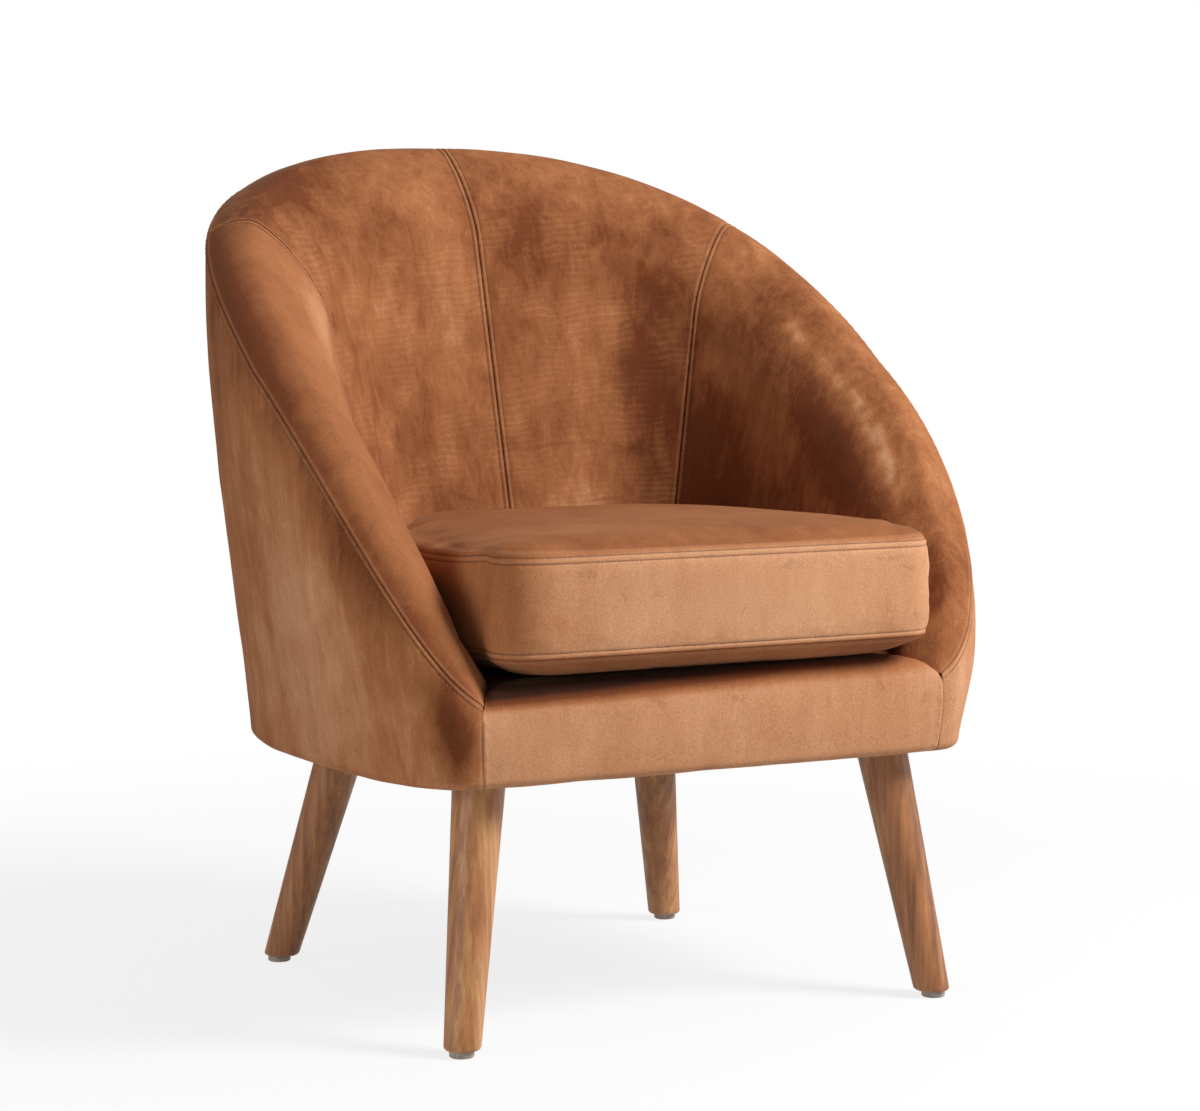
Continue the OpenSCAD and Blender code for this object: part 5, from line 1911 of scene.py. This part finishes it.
@dataclass(frozen=True)
class Lamp:
    """A square soft lamp, with its side in metres and its power in watts."""

    name: str
    place: Tuple[float, float, float]
    size: float
    power: float
    aim: Tuple[float, float, float] = (0, 0, 0.4)

    def hang(self) -> None:
        """Adds the lamp, turned to what it points at."""
        data = bpy.data.lights.new(self.name, "AREA")
        data.size = self.size
        data.energy = self.power
        made = bpy.data.objects.new(self.name, data)
        made.location = self.place
        way = Vector(self.aim) - Vector(self.place)
        made.rotation_euler = way.to_track_quat("-Z", "Y").to_euler()
        bpy.context.scene.collection.objects.link(made)


@dataclass
class Studio:
    """White floor, soft lamps and the camera."""

    azimuth: float = -29.4
    elevation: float = 4.86
    eye: Tuple[float, float, float] = (-1.5303, -2.7817, 0.6762)
    lens: float = 99.36
    soft_light: float = 0.12
    lamps: Tuple[Lamp, ...] = (
        Lamp("key_lamp", (1.7, -1.9, 2.4), 1.1, 124.0),
        Lamp("fill_lamp", (-2.9, -0.6, 0.9), 1.3, 30.0),
        Lamp("side_lamp", (2.6, -0.9, 0.4), 1.0, 13.0, (0, 0, 0.3)),
        Lamp("top_lamp", (0.3, 0.9, 2.7), 2.0, 10.0))

    def build(self) -> None:
        """Sets up the floor, the world, the lamps and the camera."""
        bm = bmesh.new()
        bmesh.ops.create_grid(bm, x_segments=8, y_segments=8, size=12.0)
        floor = finished("studio_floor", bm)
        floor.data.materials.append(self.floor_paint())
        self.world()
        for lamp in self.lamps:
            lamp.hang()
        self.camera()

    def floor_paint(self) -> bpy.types.Material:
        """White that keeps the chair's shadow and shows as plain white to the camera.

        Returns:
            The material.
        """
        graph = Graph(bpy.data.materials.new("studio_white"))
        tint = graph.blend(self.seen(graph), (0.6, 0.6, 0.6, 1), (0.86, 0.86, 0.86, 1))
        matt = graph.node("ShaderNodeBsdfDiffuse", {}, {"Color": tint})
        glow = graph.node("ShaderNodeEmission", {}, {"Color": WHITE, "Strength": 1.0})
        away = graph.node("ShaderNodeVectorMath", {"operation": "LENGTH"}, {0: graph.place()}, "Value")
        share = graph.between(away, 0.5, 1.7, 0.82, 1.0)
        graph.end(graph.node("ShaderNodeMixShader", {}, {
            0: self.seen(graph) * share, 1: matt, 2: glow}))
        return graph.owner

    def seen(self, graph: Graph) -> Wire:
        """1 for rays from the camera, a mirror or a pane, and 0 for the rest."""
        camera, mirror, pane = graph.rays("Is Camera Ray", "Is Glossy Ray", "Is Transmission Ray")
        return graph.maths("MINIMUM", camera + mirror + pane, 1.0)

    def world(self) -> None:
        """White to the eye, and a soft grey light on the object."""
        made = bpy.data.worlds.new("studio_world")
        bpy.context.scene.world = made
        graph = Graph(made)
        soft, white = (graph.node("ShaderNodeBackground", {}, {"Color": WHITE, "Strength": strength})
                       for strength in (self.soft_light, 1.0))
        seen = graph.maths("MAXIMUM", *graph.rays("Is Camera Ray", "Is Transmission Ray"))
        graph.end(graph.node("ShaderNodeMixShader", {}, {0: seen, 1: soft, 2: white}))

    def camera(self) -> None:
        """Stands the camera where the picture was taken."""
        a, e = math.radians(self.azimuth), math.radians(self.elevation)
        back = Vector((math.sin(a) * math.cos(e), -math.cos(a) * math.cos(e), math.sin(e)))
        right = Vector((math.cos(a), math.sin(a), 0))
        data = bpy.data.cameras.new("picture_camera")
        data.lens = self.lens
        data.sensor_width = 36.0
        data.sensor_fit = "HORIZONTAL"
        made = bpy.data.objects.new("picture_camera", data)
        turn = Matrix((right, back.cross(right), back)).transposed().to_4x4()
        made.matrix_world = Matrix.Translation(self.eye) @ turn
        bpy.context.scene.collection.objects.link(made)
        bpy.context.scene.camera = made
        bpy.context.scene.view_settings.view_transform = "Standard"


def main() -> None:
    """Builds the chair round its frame."""
    logging.basicConfig(level=logging.INFO, format="%(name)s: %(message)s")
    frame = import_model()
    shape = TubShape()
    finishes = Finishes()
    Studio().build()
    TubCovers(shape, finishes).build()
    SeatCushion(shape, finishes).build()
    Legs(shape).build()
    Underside(shape, finishes).build()
    FrameNodes(frame, finishes).dress()


if __name__ == "__main__":
    main()
